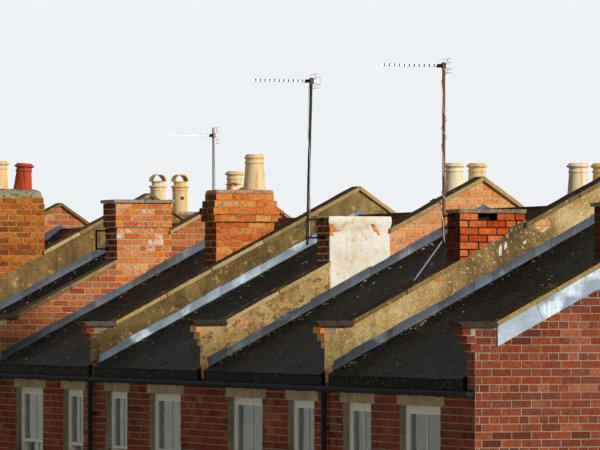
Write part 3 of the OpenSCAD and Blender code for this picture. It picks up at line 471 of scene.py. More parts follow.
# one course of a stack: on even courses the long sides run from corner to corner
def layRing(big, box, z0, z1, number, rng, style):
    bm = startBricks()
    joint, depth = brick["joint"], brick["depth"]
    high, z = z1 - z0 - joint, (z0 + z1) / 2
    for lengthwise in (1, 0):
        a0, a1 = box[lengthwise]
        inset = (depth + joint) * (number % 2 == lengthwise)
        for near, across in ((1, box[1 - lengthwise][0] + depth / 2),
                             (0, box[1 - lengthwise][1] - depth / 2)):
            for a, b in cutRun(a0 + inset, a1 - inset):
                gap = style["missing"] if number == 0 and near and lengthwise else None
                if gap and a - 0.02 < gap < b - 0.02:
                    continue
                a += joint / 2 * (a > a0 + inset)
                b -= joint / 2 * (b < a1 - inset)
                if lengthwise:
                    centre, size = at(across, (a + b) / 2, z), (depth, b - a, high)
                else:
                    centre, size = at((a + b) / 2, across, z), (b - a, depth, high)
                layOne(bm, centre, size, rng, style["limeAt"])
    bevel(bm, bm.edges[:], style["edge"])
    for vert in bm.verts:
        vert.co += noise.noise_vector(vert.co * 31) * style["rough"]
    gather(big, bm)


# the courses of a stack from the top down, as heights and projections
def stackCourses(stack, zLow):
    z = stack["top"]
    for height, out in stack["head"]:
        count = max(1, round(height / course))
        for _ in range(count):
            yield z, height / count, out
            z -= height / count
    while z > zLow:
        yield z, course, 0
        z -= course


# the lowest bed of a stack's own bricks
def stackFoot(side, stack):
    low = slateZ(stack["y1"] if side == "rear" else stack["y0"]) - 0.15
    return min(z - height for z, height, _ in stackCourses(stack, low))


# a stack brick's last number is how much painted shade darkens its +y side
brickFinish = {name: brickMaterial(name, *spec) for name, spec in {
    "weatheredRedBrick": (("6A382A", "8E452D", "A35337", "854738", "B56848"), "C9B49A", 0.45),
    "paleGableBrick": (("EA8C48", "FAAE6A", "FFC27E", "F09A6C", "FFD6A0"), "F8E8CC", 0.05),
    "redGableBrick": (("AE5230", "CA6C40", "DA8650", "B6644A", "E2A070"), "EAD6B4", 0.15),
    "orangeStackBrick": (("E27038", "FA9444", "FFAE5C", "F0824A", "FFC68C"), "F8E4C0", 0.06, 0.8),
    "limedStackBrick": (("CE5C24", "EC7E30", "FA9A44", "E07440", "FCB67C"), "FAEEDC", 0.1, 0.8),
    "redStackBrick": (("B8441C", "E05E22", "F4762E", "C84E22", "FA904C"), "D6CAB4", 0.2, 0.85),
    "brownStackBrick": (("8E4624", "C06628", "D67E34", "A85228", "E69440"), "D6BE94", 0.25, 0.75),
    "shadedStackBrick": (("7C3D2A", "9C4C2E", "B4603C", "8C4632", "C2764E"), "C9B8A0", 0.4, 0.7),
}.items()}

# lime mortar as raked and weathered: gritty and matt
mortarFinish = {name: mineralMaterial(name + "Mortar", *spec) for name, spec in {
    "lime": (("857A68", "9C917C", "AEA48C"), "6C6252", 0.05, 0.14),
    "cream": (("B8A27A", "CAB68E", "D8C8A4"), "A88E60", 0.05, 0.12),
    "sooty": (("3E332C", "54473C", "6A5A4A"), "8C7C68", 0.04, 0.12),
    "smoked": (("1C1815", "2E2722", "443A32"), "6A5E50", 0.04, 0.12),
    "lichened": (("94804E", "B09A62", "C6B078"), "6E6238", 0.04, 0.2),
}.items()}
print("brick and mortar materials made")


def dress(name, material, slot):
    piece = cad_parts[name]
    piece.data.materials.clear()
    piece.data.materials.append(material)


dress("front_wall", mortarFinish["lime"], "wall_brick")
dress("rear_wall", mortarFinish["lime"], "wall_brick")
for wall in walls:
    kind = "cream" if wall in (3, 5, 7) else "lime"
    dress(f"party_wall_{wall}", mortarFinish[kind], "wall_brick")
for wall, kind in {1: "sooty", 2: "smoked", 3: "cream", 4: "lichened", 5: "cream", 6: "lichened",
                   7: "lime"}.items():
    slot = "limewash" if wall == 3 else "stack_brick"
    dress(f"rear_stack_{wall}", mortarFinish[kind], slot)
dress("front_stacks", mortarFinish["lime"], "stack_brick")

# openings in the front and rear walls: left edge, sill, width and height
openings = {
    "wide": 1.25, "narrow": 0.9, "high": 1.5, "sills": (0.9, 3.25), "windowX": 0.7, "doorX": 1.3,
    "doorWidth": 0.95, "door": {1: 2.145, -1: 2.45}, "lintel": 0.175, "bearing": 0.11, "sill": 0.09,
}


def hand(bay):
    return 1 if bay % 2 == 0 else -1


windows = []
for bay in bays:
    wide = bayX(bay) + hand(bay) * openings["windowX"] - openings["wide"] / 2
    narrow = bayX(bay) - hand(bay) * openings["doorX"] - openings["narrow"] / 2
    windows += [(wide, sill, openings["wide"], openings["high"]) for sill in openings["sills"]]
    windows.append((narrow, openings["sills"][1], openings["narrow"], openings["high"]))


def doorsOn(sign):
    return [(bayX(bay) - hand(bay) * openings["doorX"] - openings["doorWidth"] / 2, 0.0,
             openings["doorWidth"], openings["door"][sign]) for bay in bays]


def wallHoles(sign):
    holes = []
    for x, z, width, height in windows + doorsOn(sign):
        a, b, top = x - openings["bearing"], x + width + openings["bearing"], z + height
        holes += [(x, x + width, z, top), (a, b, top, top + openings["lintel"])]
        if z > 0:
            holes.append((a, b, z - openings["sill"], z))
    return holes


rowEnds = (nearX(1), farX(7))
for side, sign in (("front", -1), ("rear", 1)):
    big = startBricks()
    top = slateZ(sign * runs[sign]) - row["slabThick"] + 0.01
    layPanel(big, at(0, sign * runs[sign], 0), Vector((0, sign, 0)), 0, top, lambda z: [rowEnds],
             wallHoles(sign), 11 + sign, headers=4, limeAt=lambda p: 0.14 * max(0, 1 - p.z / 0.6))
    finishPiece(f"{side}_wall_bricks", big, brickFinish["weatheredRedBrick"], "wall_brick")
print("front and rear bricks laid")

# how far below the coping's top the bricks of a parapet start and end
parapet = {"upper": row["copingThick"] - 0.03, "lower": row["parapetRise"] + 0.06, "ground": 20,
           "cladding": 0.28}


# spans of a party wall's face between its lower and upper limits at a height
def gableSpans(upper, lower, lift=0.0):
    def spans(z):
        found = []
        for sign, run in runs.items():
            far = min((apexZ + lift - upper - z) / slopes[sign], run)
            near = max((apexZ - lower - z) / slopes[sign], 0)
            if far > near:
                found.append((near, far) if sign > 0 else (-far, -near))
        if len(found) == 2 and found[0][0] == 0 and found[1][1] == 0:
            return [(found[1][0], found[0][1])]
        return found
    return spans


# the nearest wall: bricks stop under the cladding, but fill the corners under the kneelers
def endWallSpans(z):
    found = gableSpans(parapet["cladding"], parapet["ground"])(z)
    for sign, run in runs.items():
        far = (apexZ - parapet["cladding"] - z) / slopes[sign]
        far = max(far, run - row["kneelerInset"] - 0.03)
        if far < run and z < kneelerZ:
            found.append((far, run) if sign > 0 else (-run, -far))
    return found


def panelHoles(wall, outside):
    return [(s["y0"], s["y1"], stackFoot(side, s) if outside else 0, 20)
            for (side, w), s in stacks.items() if w == wall and s["crosses"]]


for wall in walls:
    big, lift = startBricks(), liftOf(wall)
    for out, x, seed in ((-1, nearX(wall), 40), (1, farX(wall), 60)):
        foot, way = Vector((x, ridgeY, 0)), Vector((out, 0, 0))
        if (out, wall) in ((-1, 1), (1, 7)):
            spans = endWallSpans if out < 0 else gableSpans(parapet["upper"], parapet["ground"])
            layPanel(big, foot, way, 0, apexZ, spans, panelHoles(wall, True), seed + wall,
                     headers=4)
        elif out > 0 or wall not in (4, 6):
            layPanel(big, foot, way, kneelerZ - 0.6, apexZ + lift,
                     gableSpans(parapet["upper"], parapet["lower"], lift),
                     panelHoles(wall, False), seed + wall)
    for sign, run in runs.items():
        layPanel(big, at(nearX(wall), sign * run, 0), Vector((0, sign, 0)),
                 slateZ(sign * run) - row["slabThick"] + 0.01, kneelerZ + lift - 3 * course,
                 lambda z: [(0, row["wallThick"])], (), 120 + wall)
    # corbels under the kneelers, in three courses
    rng = random.Random(80 + wall)
    bm = startBricks()
    for sign, run in runs.items():
        for step in range(3):
            out = (step + 1) * row["corbelStep"] + brick["proud"]
            layOne(bm, at(middleX(wall), sign * (run + out - brick["depth"] / 2),
                          kneelerZ + lift - (2.5 - step) * course),
                   (row["wallThick"] + 2 * brick["proud"], brick["depth"],
                    course - brick["joint"]), rng)
    bevel(bm, bm.edges[:], 0.004)
    gather(big, bm)
    kind = {2: "pale", 3: "pale", 5: "red", 7: "red"}.get(wall)
    finishPiece(f"party_wall_{wall}_bricks", big,
                brickFinish[f"{kind}GableBrick" if kind else "weatheredRedBrick"], "wall_brick")
print("party wall bricks laid")


# lime left on stack 5 along two courses and in patches: place, height and strength of each
limeLeft = {"all": 0.12, "cloud": 0.34, "course": 0.12, "half": (0.12, 0.045),
            "patches": ((1.46, 1.13, 0.22), (1.53, 1.66, 0.14), (1.86, 1.34, 0.18))}


def limeOnFive(point):
    down = (stacks[("rear", 5)]["top"] - point.z) / course
    limed = 1 < down < 2 or 5 < down < 6
    lime = limeLeft["all"] + limeLeft["cloud"] * noise.noise(point * 4.3)
    lime += limeLeft["course"] if limed else 0
    along, up = limeLeft["half"]
    for y, z, more in limeLeft["patches"]:
        near = abs(point.y - ridgeY - y) < along and abs(point.z - kneelerZ - z) < up
        lime += more if near else 0
    return lime


stackKinds = {2: "red", 3: "orange", 4: "orange", 5: "limed", 6: "brown"}
for (side, wall), stack in stacks.items():
    big = startBricks()
    rear = side == "rear"
    style = {"limeAt": limeOnFive if rear and wall == 5 else None, "edge": 0.005,
             "rough": 0.0055 if wall in (2, 4, 5) else 0.003, "missing": None}
    # the brick that is missing from the top course of stack 2
    if wall == 2:
        style.update(edge=0.006, missing=stack["y1"] - 0.36 if rear else None)
    rng = random.Random(100 + wall + (0 if rear else 50))
    for number, (z, height, out) in enumerate(stackCourses(stack, stackFoot(side, stack) + 0.01)):
        out += brick["proud"]
        box = ((stack["x0"] - out, stack["x1"] + out), (stack["y0"] - out, stack["y1"] + out))
        layRing(big, box, z - height, z, number, rng, style)
    kind = stackKinds.get(wall, "shaded") if rear else "shaded"
    finishPiece(f"{side}_stack_{wall}_bricks", big, brickFinish[kind + "StackBrick"],
                "limewash" if rear and wall == 3 else "stack_brick")
print("stack bricks laid")

# sandstone and mortar: gritty, with lichen spots, and tops darkened as painted shade
stoneFinish = {
    "coping": mineralMaterial("weatheredCoping", ("7A6444", "9A8258", "B49A6A", "C6AC7C"), "C4A458",
                              0.05, 0.16, topShadeColour="2E2722", useTone=0.62),
    # the copings of walls 5 to 7 are paler and carry lighter painted shade on their tops
    "farCoping": mineralMaterial("paleCoping", ("86704C", "A68C60", "C0A472", "D0B684"), "C4A458",
                                 0.05, 0.16, topShadeColour="6A5A44", useTone=0.62),
    # the kneelers are coloured much darker than the copings
    "kneeler": mineralMaterial("darkKneeler", ("443D36", "584F45", "696054"), "3A342C", 0.05, 0.2,
                               topShadeColour="38322B", useTone=0.62),
    "slab": mineralMaterial("lichenedSlab", ("857B6C", "A0968A", "B8AC98"), "B9A668", 0.03, 0.2,
                            topShadeColour="6E665A", useTone=0.62),
    "dressing": mineralMaterial("windowStone", ("A08D6C", "B8A480", "C8B692"), "857356", 0.05, 0.14,
                                streaks=("6E6250", 0.5)),
    "step": mineralMaterial("wornDoorstep", ("8A8478", "9E988C", "B0AA9C"), "6E695E", 0.04, 0.14),
    "pinkish": mineralMaterial("pinkishMortar", ("A07A64", "BE9880", "D2B4A0"), "8A6E5A", 0.04,
                               0.16, grain=40, depth=0.01),
    "flaunching": mineralMaterial("mossyFlaunching", ("8A8270", "A89E88", "C0B69E"), "6A6840", 0.03,
                                  0.2, grain=40, depth=0.012, topShadeColour="98907A"),
}

# copings: stones with joints, mitred at the ridge and stopped against the stacks
copingStone = {"length": 0.74, "joint": 0.01, "edge": 0.009, "rough": 0.005, "uneven": 0.003}


def layCoping(big, wall, sign, rng):
    angle = math.atan(slopes[sign])
    cosine, sine = math.cos(angle), math.sin(angle)
    stops = []
    start, skew = 0.0, slopes[sign]
    for y0, y1 in stackGaps(wall, sign):
        stops.append((start, skew, y0 / cosine, slopes[sign]))
        start = y1 / cosine
    stops.append((start, skew, (runs[sign] - row["kneelerInset"]) / cosine, 0.0))
    for first, skewFirst, last, skewLast in stops:
        count = max(1, round((last - first) / copingStone["length"]))
        cuts = [first + (last - first) * i / count for i in range(count + 1)]
        cuts[1:-1] = [cut + rng.uniform(-0.06, 0.06) for cut in cuts[1:-1]]
        for i in range(count):
            gap = copingStone["joint"] / 2
            near = (cuts[i] + (gap if i else 0), skewFirst if i == 0 else 0)
            far = (cuts[i + 1] - gap, 0) if i < count - 1 else (cuts[i + 1], skewLast)
            bm = startCube(3)
            lift = liftOf(wall) + rng.uniform(-1, 1) * copingStone["uneven"]
            for vert in bm.verts:
                depth = (0.5 - vert.co.z) * row["copingThick"] * cosine
                along = near[0] + near[1] * depth
                along += (vert.co.x + 0.5) * (far[0] + far[1] * depth - along)
                vert.co = at(middleX(wall) + vert.co.y * row["copingWidth"],
                             sign * (along * cosine - depth * sine),
                             apexZ - along * sine - depth * cosine + lift)
            mendNormals(bm)
            gatherStone(big, bm, rng, copingStone["edge"], copingStone["rough"], 7)


rng = random.Random(7)
for name, kind, ownWalls in (("coping_stones", "coping", walls[:4]),
                             ("far_coping_stones", "farCoping", walls[4:])):
    big = startMesh()
    for wall in ownWalls:
        for sign in runs:
            layCoping(big, wall, sign, rng)
    finishPiece(name, big, stoneFinish[kind], "sandstone", ["copings"], 35)

# kneelers: the splayed stones at the feet of the copings
kneelerStone = {"splay": 0.035, "edge": 0.008, "rough": 0.005}
big = startMesh()
for wall in walls:
    for sign, run in runs.items():
        slope, splay = slopes[sign], kneelerStone["splay"]
        tip, foot = run + row["kneelerOver"], run - row["kneelerInset"]
        base = kneelerZ + liftOf(wall)
        top = base + row["kneelerThick"]
        drop = row["copingThick"] / (1 + slope ** 2)
        seat = foot - drop * slope
        outline = [(tip, top), (foot, top), (seat, top - drop), (seat, base),
                   (tip - 1.5 * splay, base), (tip - 1.5 * splay, top - splay)]
        left = nearX(wall) + (row["wallThick"] - row["copingWidth"]) / 2
        bm = startMesh()
        extrudeOutline(bm, [at(left, sign * y, z) for y, z in outline], (row["copingWidth"], 0, 0))
        subdivide(bm, 3, [edge for edge in bm.edges if edge.calc_length() > 0.12])
        gatherStone(big, bm, rng, kneelerStone["edge"], kneelerStone["rough"], 8)
finishPiece("kneeler_stones", big, stoneFinish["kneeler"], "sandstone", ["kneelers"], 35)
print("copings and kneelers made")

# slates: riven, coloured darker than slate itself as painted shade, laid in broken joint with tails
# that lift a little
slate = {"width": 0.25, "length": 0.36, "gauge": 0.22, "thick": 0.007, "tail": 0.014, "head": 0.004,
         "overhang": 0.02, "clear": 0.008, "gap": 0.0015, "waver": 0.004, "sway": 0.008,
         "least": 0.03, "trim": 0.02}
shadedSlateFinish = mineralMaterial("rivenShadedSlate", ("0F0E0E", "151413", "1E1B19", "181818", "26221F"),
                              "8C8468", 0.016, 0.14, roughness=0.62, grain=40, depth=0.002,
                              useTone=0.62)


def slopeFrame(sign):
    angle = math.atan(slopes[sign])
    down = Vector((0, sign * math.cos(angle), -math.sin(angle)))
    out = Vector((0, sign * math.sin(angle), math.cos(angle)))
    return angle, down, out


def laySlates(big, bay, sign, rng):
    angle, down, out = slopeFrame(sign)
    ridge = at(0, 0, slateZ(0))
    total = (runs[sign] + row["eavesOver"]) / math.cos(angle) + slate["overhang"]
    left, right = farX(bay) + slate["clear"], nearX(bay + 1) - slate["clear"]
    for number in range(math.ceil(total / slate["gauge"])):
        bm = startMesh()
        tail = total - number * slate["gauge"]
        head = max(tail - slate["length"], 0.03)
        y = sign * (tail + head) / 2 * math.cos(angle)
        x = left - (slate["width"] / 2 if number % 2 else 0)
        while x < right:
            a = max(x, left) + slate["gap"]
            b = min(x + slate["width"], right) - slate["gap"]
            x += slate["width"]
            if b - a < slate["least"] or meetsStack(a, b, y - slate["trim"], y + slate["trim"]):
                continue
            tilt = math.atan((slate["tail"] - slate["head"]) / (tail - head))
            tilt += rng.uniform(-1, 1) * slate["waver"]
            turn = Matrix.Rotation(rng.uniform(-1, 1) * slate["sway"], 3, out)
            turn = turn @ Matrix.Rotation(-tilt * sign, 3, "X")
            drop = rng.uniform(-1, 1) * slate["waver"]
            centre = ridge + Vector(((a + b) / 2, 0, 0)) + down * ((head + tail) / 2 + drop)
            centre += out * ((slate["tail"] + slate["head"] + slate["thick"]) / 2)
            addBlock(bm, centre, (b - a, tail - head, slate["thick"]),
                     (turn @ squareAxes[0], turn @ down, turn @ out))
            tone = 0.5 + 0.35 * noise.noise(centre) + rng.uniform(-0.4, 0.4)
            bm.faces.ensure_lookup_table()
            paintFaces(bm, bm.faces[-6:], tone=clamp(tone))
        gather(big, bm)


for side, sign in (("rear", 1), ("front", -1)):
    big = startMesh()
    for bay in bays:
        laySlates(big, bay, sign, rng)
    finishPiece(f"{side}_slates", big, shadedSlateFinish, "slate")
    dress(f"{side}_roof_slopes", shadedSlateFinish, "slate")
print("slates laid")

# ridge tiles: angle tiles of sooted red clay with a roll, bedded end to end
ridgeTile = {"wing": 0.17, "thick": 0.02, "roll": 0.028, "length": 0.45, "joint": 0.008,
             "lift": 0.018, "clear": 0.012}
ridgeFinish = mineralMaterial("sootedRidgeClay", ("4E2F26", "6C3E2F", "86503A"), "8C8468", 0.03,
                              0.16, useTone=0.62)
wing, thick, roll = ridgeTile["wing"], ridgeTile["thick"], ridgeTile["roll"]
crown = [(roll * math.cos(turn), slateZ(0) + thick + 0.012 + roll * math.sin(turn))
         for turn in [math.radians(-10 + 20 * k) for k in range(11)]]
outline = [(y, slateZ(y)) for y in (-wing, 0, wing)] + [(wing, slateZ(wing) + thick)]
outline += crown + [(-wing, slateZ(-wing) + thick)]
big = startMesh()
for bay in bays:
    left, right = farX(bay) + ridgeTile["clear"], nearX(bay + 1) - ridgeTile["clear"]
    count = round((right - left) / ridgeTile["length"])
    pitch = (right - left) / count
    for i in range(count):
        bm = startMesh()
        extrudeOutline(bm, [at(left + i * pitch, y, z + ridgeTile["lift"]) for y, z in outline],
                       (pitch - ridgeTile["joint"], 0, 0))
        roughen(bm, 0.002, 9)
        gather(big, bm, rng.random())
finishPiece("ridge_tile_run", big, ridgeFinish, "red_terracotta", ["ridge_tiles"], 40)
print("ridge tiles laid")


# lead: dull grey sheet, whitened by its own oxide, with dark drips
def leadMaterial(name, tones, oxide, oxideCover):
    material, tree, shader = startMaterial(name, 0.5, 0.25)
    place = addNode(tree, "TexCoord").outputs["Object"]
    cloud = addNode(tree, "TexNoise",
                    {"Vector": place, "Scale": 4.5, "Detail": 7, "Roughness": 0.6})
    tone = addNode(tree, "Attribute", settings={"attribute_name": "tone"}).outputs["Fac"]
    level = addNode(tree, "Mix", {0: 0.5, 2: cloud.outputs["Fac"], 3: tone}, single)
    stops = [(0.25 + 0.5 * i / (len(tones) - 1), colour) for i, colour in enumerate(tones)]
    colour = addNode(tree, "ValToRGB", {"Fac": level.outputs[0]}, stops=stops)
    # oxide in patches nearly half a metre wide
    patches = addNode(tree, "TexNoise", {"Vector": place, "Scale": 2.3, "Detail": 4})
    cover = addNode(tree, "MapRange", {"Value": patches.outputs["Fac"], 1: 0.66 - oxideCover,
                                       2: 0.78 - oxideCover, 4: 0.85})
    whitened = addNode(tree, "Mix", {0: cover.outputs[0], 6: colour.outputs[0], 7: linear(oxide)},
                       rgba)
    stretched = addNode(tree, "Mapping", {"Vector": place, "Scale": (9, 9, 1.2)})
    drips = addNode(tree, "TexNoise", {"Vector": stretched.outputs[0], "Scale": 2.2, "Detail": 5})
    cover = addNode(tree, "MapRange", {"Value": drips.outputs["Fac"], 1: 0.54, 2: 0.7, 4: 0.4})
    streaked = addNode(tree, "Mix", {0: cover.outputs[0], 6: whitened.outputs[2],
                                     7: linear("4C5258")}, rgba)
    dents = addNode(tree, "TexNoise", {"Vector": place, "Scale": 14, "Detail": 4})
    joinShader(tree, shader, streaked.outputs[2], dents.outputs["Fac"], 0.4, 0.006)
    return material


# painted shade: the dull lead is coloured far darker than the bright lead; both carry their own
# oxide and drips
leadFinish = {
    "dull": leadMaterial("agedShadedLead", ("20262D", "323A44", "46515D"), "727E88", 0.06),
    "bright": leadMaterial("oxidisedLead", ("5A6874", "788794", "96A4B0"), "CCD6DE", 0.12),
}
leadSheet = {"height": 0.138, "skirt": 0.085, "length": (0.19, 0.33), "thick": 0.0035,
             "wave": 0.004, "lap": 0.012, "proud": (0.005, 0.0015), "skin": 0.006,
             "skinOnRender": 0.019}


# a thin sheet from a grid: placeAt turns shares along and across into a point
def sheetPatch(big, across, along, placeAt, out, thick, tone):
    bm = startMesh()
    bmesh.ops.create_grid(bm, x_segments=along, y_segments=across, size=0.5)
    for vert in bm.verts:
        vert.co = placeAt(vert.co.x + 0.5, vert.co.y + 0.5)
    bm.normal_update()
    if sum(face.normal.dot(out) for face in bm.faces) < 0:
        bmesh.ops.reverse_faces(bm, faces=bm.faces[:])
    bm.normal_update()
    pushFaces(bm, bm.faces[:], Vector(out) * thick)
    gather(big, bm, tone)


# upstand on the parapet and skirt on the slates, in short lapped lengths
def layFlashing(big, wall, facing, sign, rng):
    run = runs[sign] - 0.02
    x = nearX(wall) if facing < 0 else farX(wall)
    skin = leadSheet["skinOnRender" if facing < 0 and wall in (2, 3, 4, 6) else "skin"]
    y, number = 0.0, 0
    while y < run:
        step = rng.uniform(*leadSheet["length"])
        a, b = y - leadSheet["lap"], min(y + step, run)
        y += step
        number += 1
        if facing > 0 and any(a < g1 and b > g0 for g0, g1 in stackGaps(wall, sign)):
            continue
        proud = leadSheet["proud"][number % 2]
        top = leadSheet["height"] + rng.uniform(-0.014, 0.012)
        skirt = leadSheet["skirt"] + rng.uniform(-0.012, 0.014)
        folds = [Vector(fold) for fold in ((skin, top), (skin, 0.1), (skin, 0.045),
                                           (skin + 0.003, 0.022), (0.035, 0.022), (skirt, 0.021))]

        def placeAt(u, v):
            share = v * (len(folds) - 1)
            k = min(int(share), len(folds) - 2)
            outX, upZ = folds[k].lerp(folds[k + 1], share - k)
            along = a + (b - a) * u
            wave = leadSheet["wave"] * noise.noise(Vector((x, along * 9, upZ * 12)))
            lift = proud + wave if outX > 0.023 else 0
            return at(x + facing * (outX + proud + abs(wave)), sign * along,
                      slateZ(sign * along) + upZ + lift)

        sheetPatch(big, 5, 3, placeAt, (facing * 0.7, 0, 0.7), leadSheet["thick"], rng.random())


rng = random.Random(21)
shadedLeadFaces = [(wall, -1) for wall in (2, 3, 5, 6, 7)] + [(wall, 1) for wall in bays]
for kind, faces in (("dull", shadedLeadFaces), ("bright", [(4, -1)])):
    big = startMesh()
    for wall, facing in faces:
        for sign in runs:
            layFlashing(big, wall, facing, sign, rng)
    finishPiece(f"{kind}_flashings", big, leadFinish[kind], "lead_sheet", ["flashings"], 40)

# the nearest party wall is clad in larger sheets under its coping
cladding = {"height": 0.245, "thick": 0.004, "length": (0.85, 1.15), "lean": 0.35}
big = startMesh()
for sign, run in runs.items():
    foot = run - row["kneelerInset"] - 0.03
    y = 0.0
    while y < foot - 0.2:
        last = y + rng.uniform(*cladding["length"])
        last = foot if last > foot - 0.3 else last

        def placeAt(u, v):
            low = cladding["height"] * (1 - v)
            lean = cladding["lean"] * low
            a = y - (lean if y > 0 else 0) - 0.01
            b = last - (lean if last < foot else 0)
            along = a + (b - a) * u
            z = copingZ(sign * along) - row["copingThick"] - low + 0.012
            bulge = 0.006 * (1 + noise.noise(Vector((0, along * 3, z * 5)))) + 0.005 * (u > 0.97)
            return at(nearX(1) - 0.004 - bulge, sign * along, z)

        sheetPatch(big, 4, 8, placeAt, (-1, 0, 0), cladding["thick"], rng.uniform(0.3, 1))
        y = last
finishPiece("end_wall_cladding", big, leadFinish["bright"], "lead_sheet", ["flashings"], 40)
print("lead laid")

# renders: thin coats with a lumpy face and ragged holes where bricks show
renderFinish = {
    "lichened": mineralMaterial("lichenedRender", ("5C4A32", "8C7248", "C4A264", "E8D096"),
                                "EBDCB4", 0.026, 0.145, streaks=("5A4E3C", 0.4), grain=60,
                                depth=0.006, useTone=0.42, bloom="F6F0E4"),
    "golden": mineralMaterial("goldenRender", ("6A5030", "AC8C58", "D4B478", "ECD8A4"), "8A6A44",
                              0.05, 0.2, streaks=("A88A58", 0.4), grain=60, depth=0.006,
                              useTone=0.3),
    "khaki": mineralMaterial("khakiRender", ("52422A", "78623E", "98804F", "BEA26C"), "B89E6A",
                             0.06, 0.14, streaks=("4E3F2A", 0.6), grain=60, depth=0.005,
                             useTone=0.4),
    "brown": mineralMaterial("brownRender", ("6C5436", "8C7048", "A88A5A"), "C2A468", 0.07, 0.16,
                             streaks=("58462E", 0.6), grain=60, depth=0.005),
    "limewash": mineralMaterial("flakingLimewash", ("D6C6A6", "EEE4D0", "FAF5EA", "FEFBF4"),
                                "DCC49A", 0.1, 0.15, streaks=("D8C6A2", 0.45), grain=50,
                                depth=0.005, pitShade="EADFCA"),
}
renderCoat = {"thick": 0.009, "least": -0.006, "cell": 0.035}
# on wall 2 white lime has run down here: middle, height above the kneelers, half width and height
limeRuns = [(1.62, 0.92, 0.035, 0.13), (1.56, 0.97, 0.03, 0.06), (1.67, 1.13, 0.02, 0.05),
            (1.66, 1.05, 0.02, 0.03), (1.33, 1.01, 0.05, 0.03), (1.08, 1.15, 0.03, 0.03)]


# how pale a render is along its wall
def renderTone(wall, y):
    if wall == 2:
        return 0.72 - 0.62 * max(0, 1 - abs(y - 1.62) / 0.75) ** 0.5
    return 0.36 + 0.5 * max(0, 0.6 - y) if wall == 4 else 0.5


def renderLime(wall, y, high):
    if wall != 2:
        return 0
    return max(0.5 * max(0, 1.3 - math.hypot((y - a) / u, (high - b) / v))
               for a, b, u, v in limeRuns)


def layRender(wall, kind, y0, y1, upper, bare=()):
    seed, thick = 1.1 * wall, renderCoat["thick"]

    def placeAt(u, v):
        y = y0 + (y1 - y0) * u
        high = copingZ(y) + liftOf(wall) - upper(y)
        z = high + (copingZ(y) - row["parapetRise"] + 0.09 - high) * v
        point = Vector((seed, y, z))
        coat = thick + 0.005 * noise.fractal(point * 6, 0.9, 2, 3)
        for by, bz, size in bare:
            far = math.hypot(y - by, z - kneelerZ - bz) / size + 0.45 * noise.noise(point * 17)
            coat -= (thick + 0.012) * clamp((1.25 - far) * 1.6)
        edge = 0.004 if min(v, 1 - v) < 0.02 else 0
        return at(nearX(wall) - max(coat, renderCoat["least"]) + edge, y, z)

    big = startBricks()
    sheetPatch(big, 14, int((y1 - y0) / renderCoat["cell"]), placeAt, (-1, 0, 0), 0.002, 0.5)
    for face in big.faces:
        middle = face.calc_center_median()
        y = middle.y - ridgeY
        paintFaces(big, [face], tone=renderTone(wall, y) + 0.12 * noise.noise(middle * 3),
                   lime=renderLime(wall, y, middle.z - kneelerZ))
    finishPiece(f"party_wall_{wall}_render", big, renderFinish[kind], "wall_brick", (), 50)


def underside(_):
    return row["copingThick"] - 0.012


# on wall 2 the coat also laps over the foot of the stack, up to the line of the coping
def lapUnderStack(y):
    s = stacks[("rear", 2)]
    if s["y0"] - 0.02 < y < s["y1"] + 0.01:
        return 0.012 + 0.03 * noise.noise(Vector((3.1, y * 7, 0))) - 0.05 * (y < s["y0"] + 0.2)
    return underside(y)


renderFoot = runs[1] + 0.1
layRender(2, "lichened", -runs[-1], renderFoot, lapUnderStack,
          ((1.07, 1.238, 0.1), (2.11, 0.85, 0.07), (2.44, 0.57, 0.05)))
layRender(3, "golden", stacks[("rear", 3)]["y1"] + 0.005, renderFoot, underside,
          ((3.3, 0.02, 0.06),))
layRender(4, "khaki", -runs[-1], renderFoot, underside)
layRender(6, "brown", -runs[-1], renderFoot, underside)
print("renders laid")

# limewash over stack 3: bare patches are y, height, size and shear; the band follows the head
limewash = {"thick": 0.0085, "band": 0.021, "bandHigh": 0.115,
            "bare": ((2.10, 1.23, 0.055, 0), (1.51, 1.24, 0.045, 0.8))}
s = stacks[("rear", 3)]
low = slateZ(s["y1"]) - 0.1
bm = startCube(26)
for vert in bm.verts:
    side = Vector((vert.co.x, vert.co.y, 0)) * 2
    z = low + (vert.co.z + 0.5) * (s["top"] + 0.012 - low)
    down = s["top"] - z
    band = limewash["band"] * clamp(1 - (down - limewash["bandHigh"]) / 0.025)
    band -= 0.004 * max(0, 1 - down / 0.03) ** 2
    point = at(s["x"] + side.x * (s["x1"] - s["x0"]) / 2, s["y"] + side.y * (s["y1"] - s["y0"]) / 2,
               z)
    coat = limewash["thick"] + band + 0.004 * noise.fractal(point * 5, 0.9, 2, 4)
    coat += 0.0025 * noise.noise(point * 21)
    for y, height, size, shear in limewash["bare"] if side.x < -0.9 else ():
        off, rise = point.y - ridgeY - y, z - kneelerZ - height
        far = math.hypot(off / 1.3, rise - shear * off) / size + 0.4 * noise.noise(point * 19)
        coat -= (0.016 + band) * clamp((1.2 - far) * 2)
    # the side that the camera sees in shade was never limewashed
    if side.y > 0.999 and side.x > -0.999:
        coat = renderCoat["least"]
    away = Vector([round(part, 3) if abs(part) > 0.999 else 0 for part in side])
    vert.co = point + away * max(coat, renderCoat["least"])
roundEdges(bm, 0.012, 2, 50)
big = startMesh()
gather(big, bm, 0.5)
finishPiece("rear_stack_3_limewash", big, renderFinish["limewash"], "limewash", (), 50)
print("limewash laid")

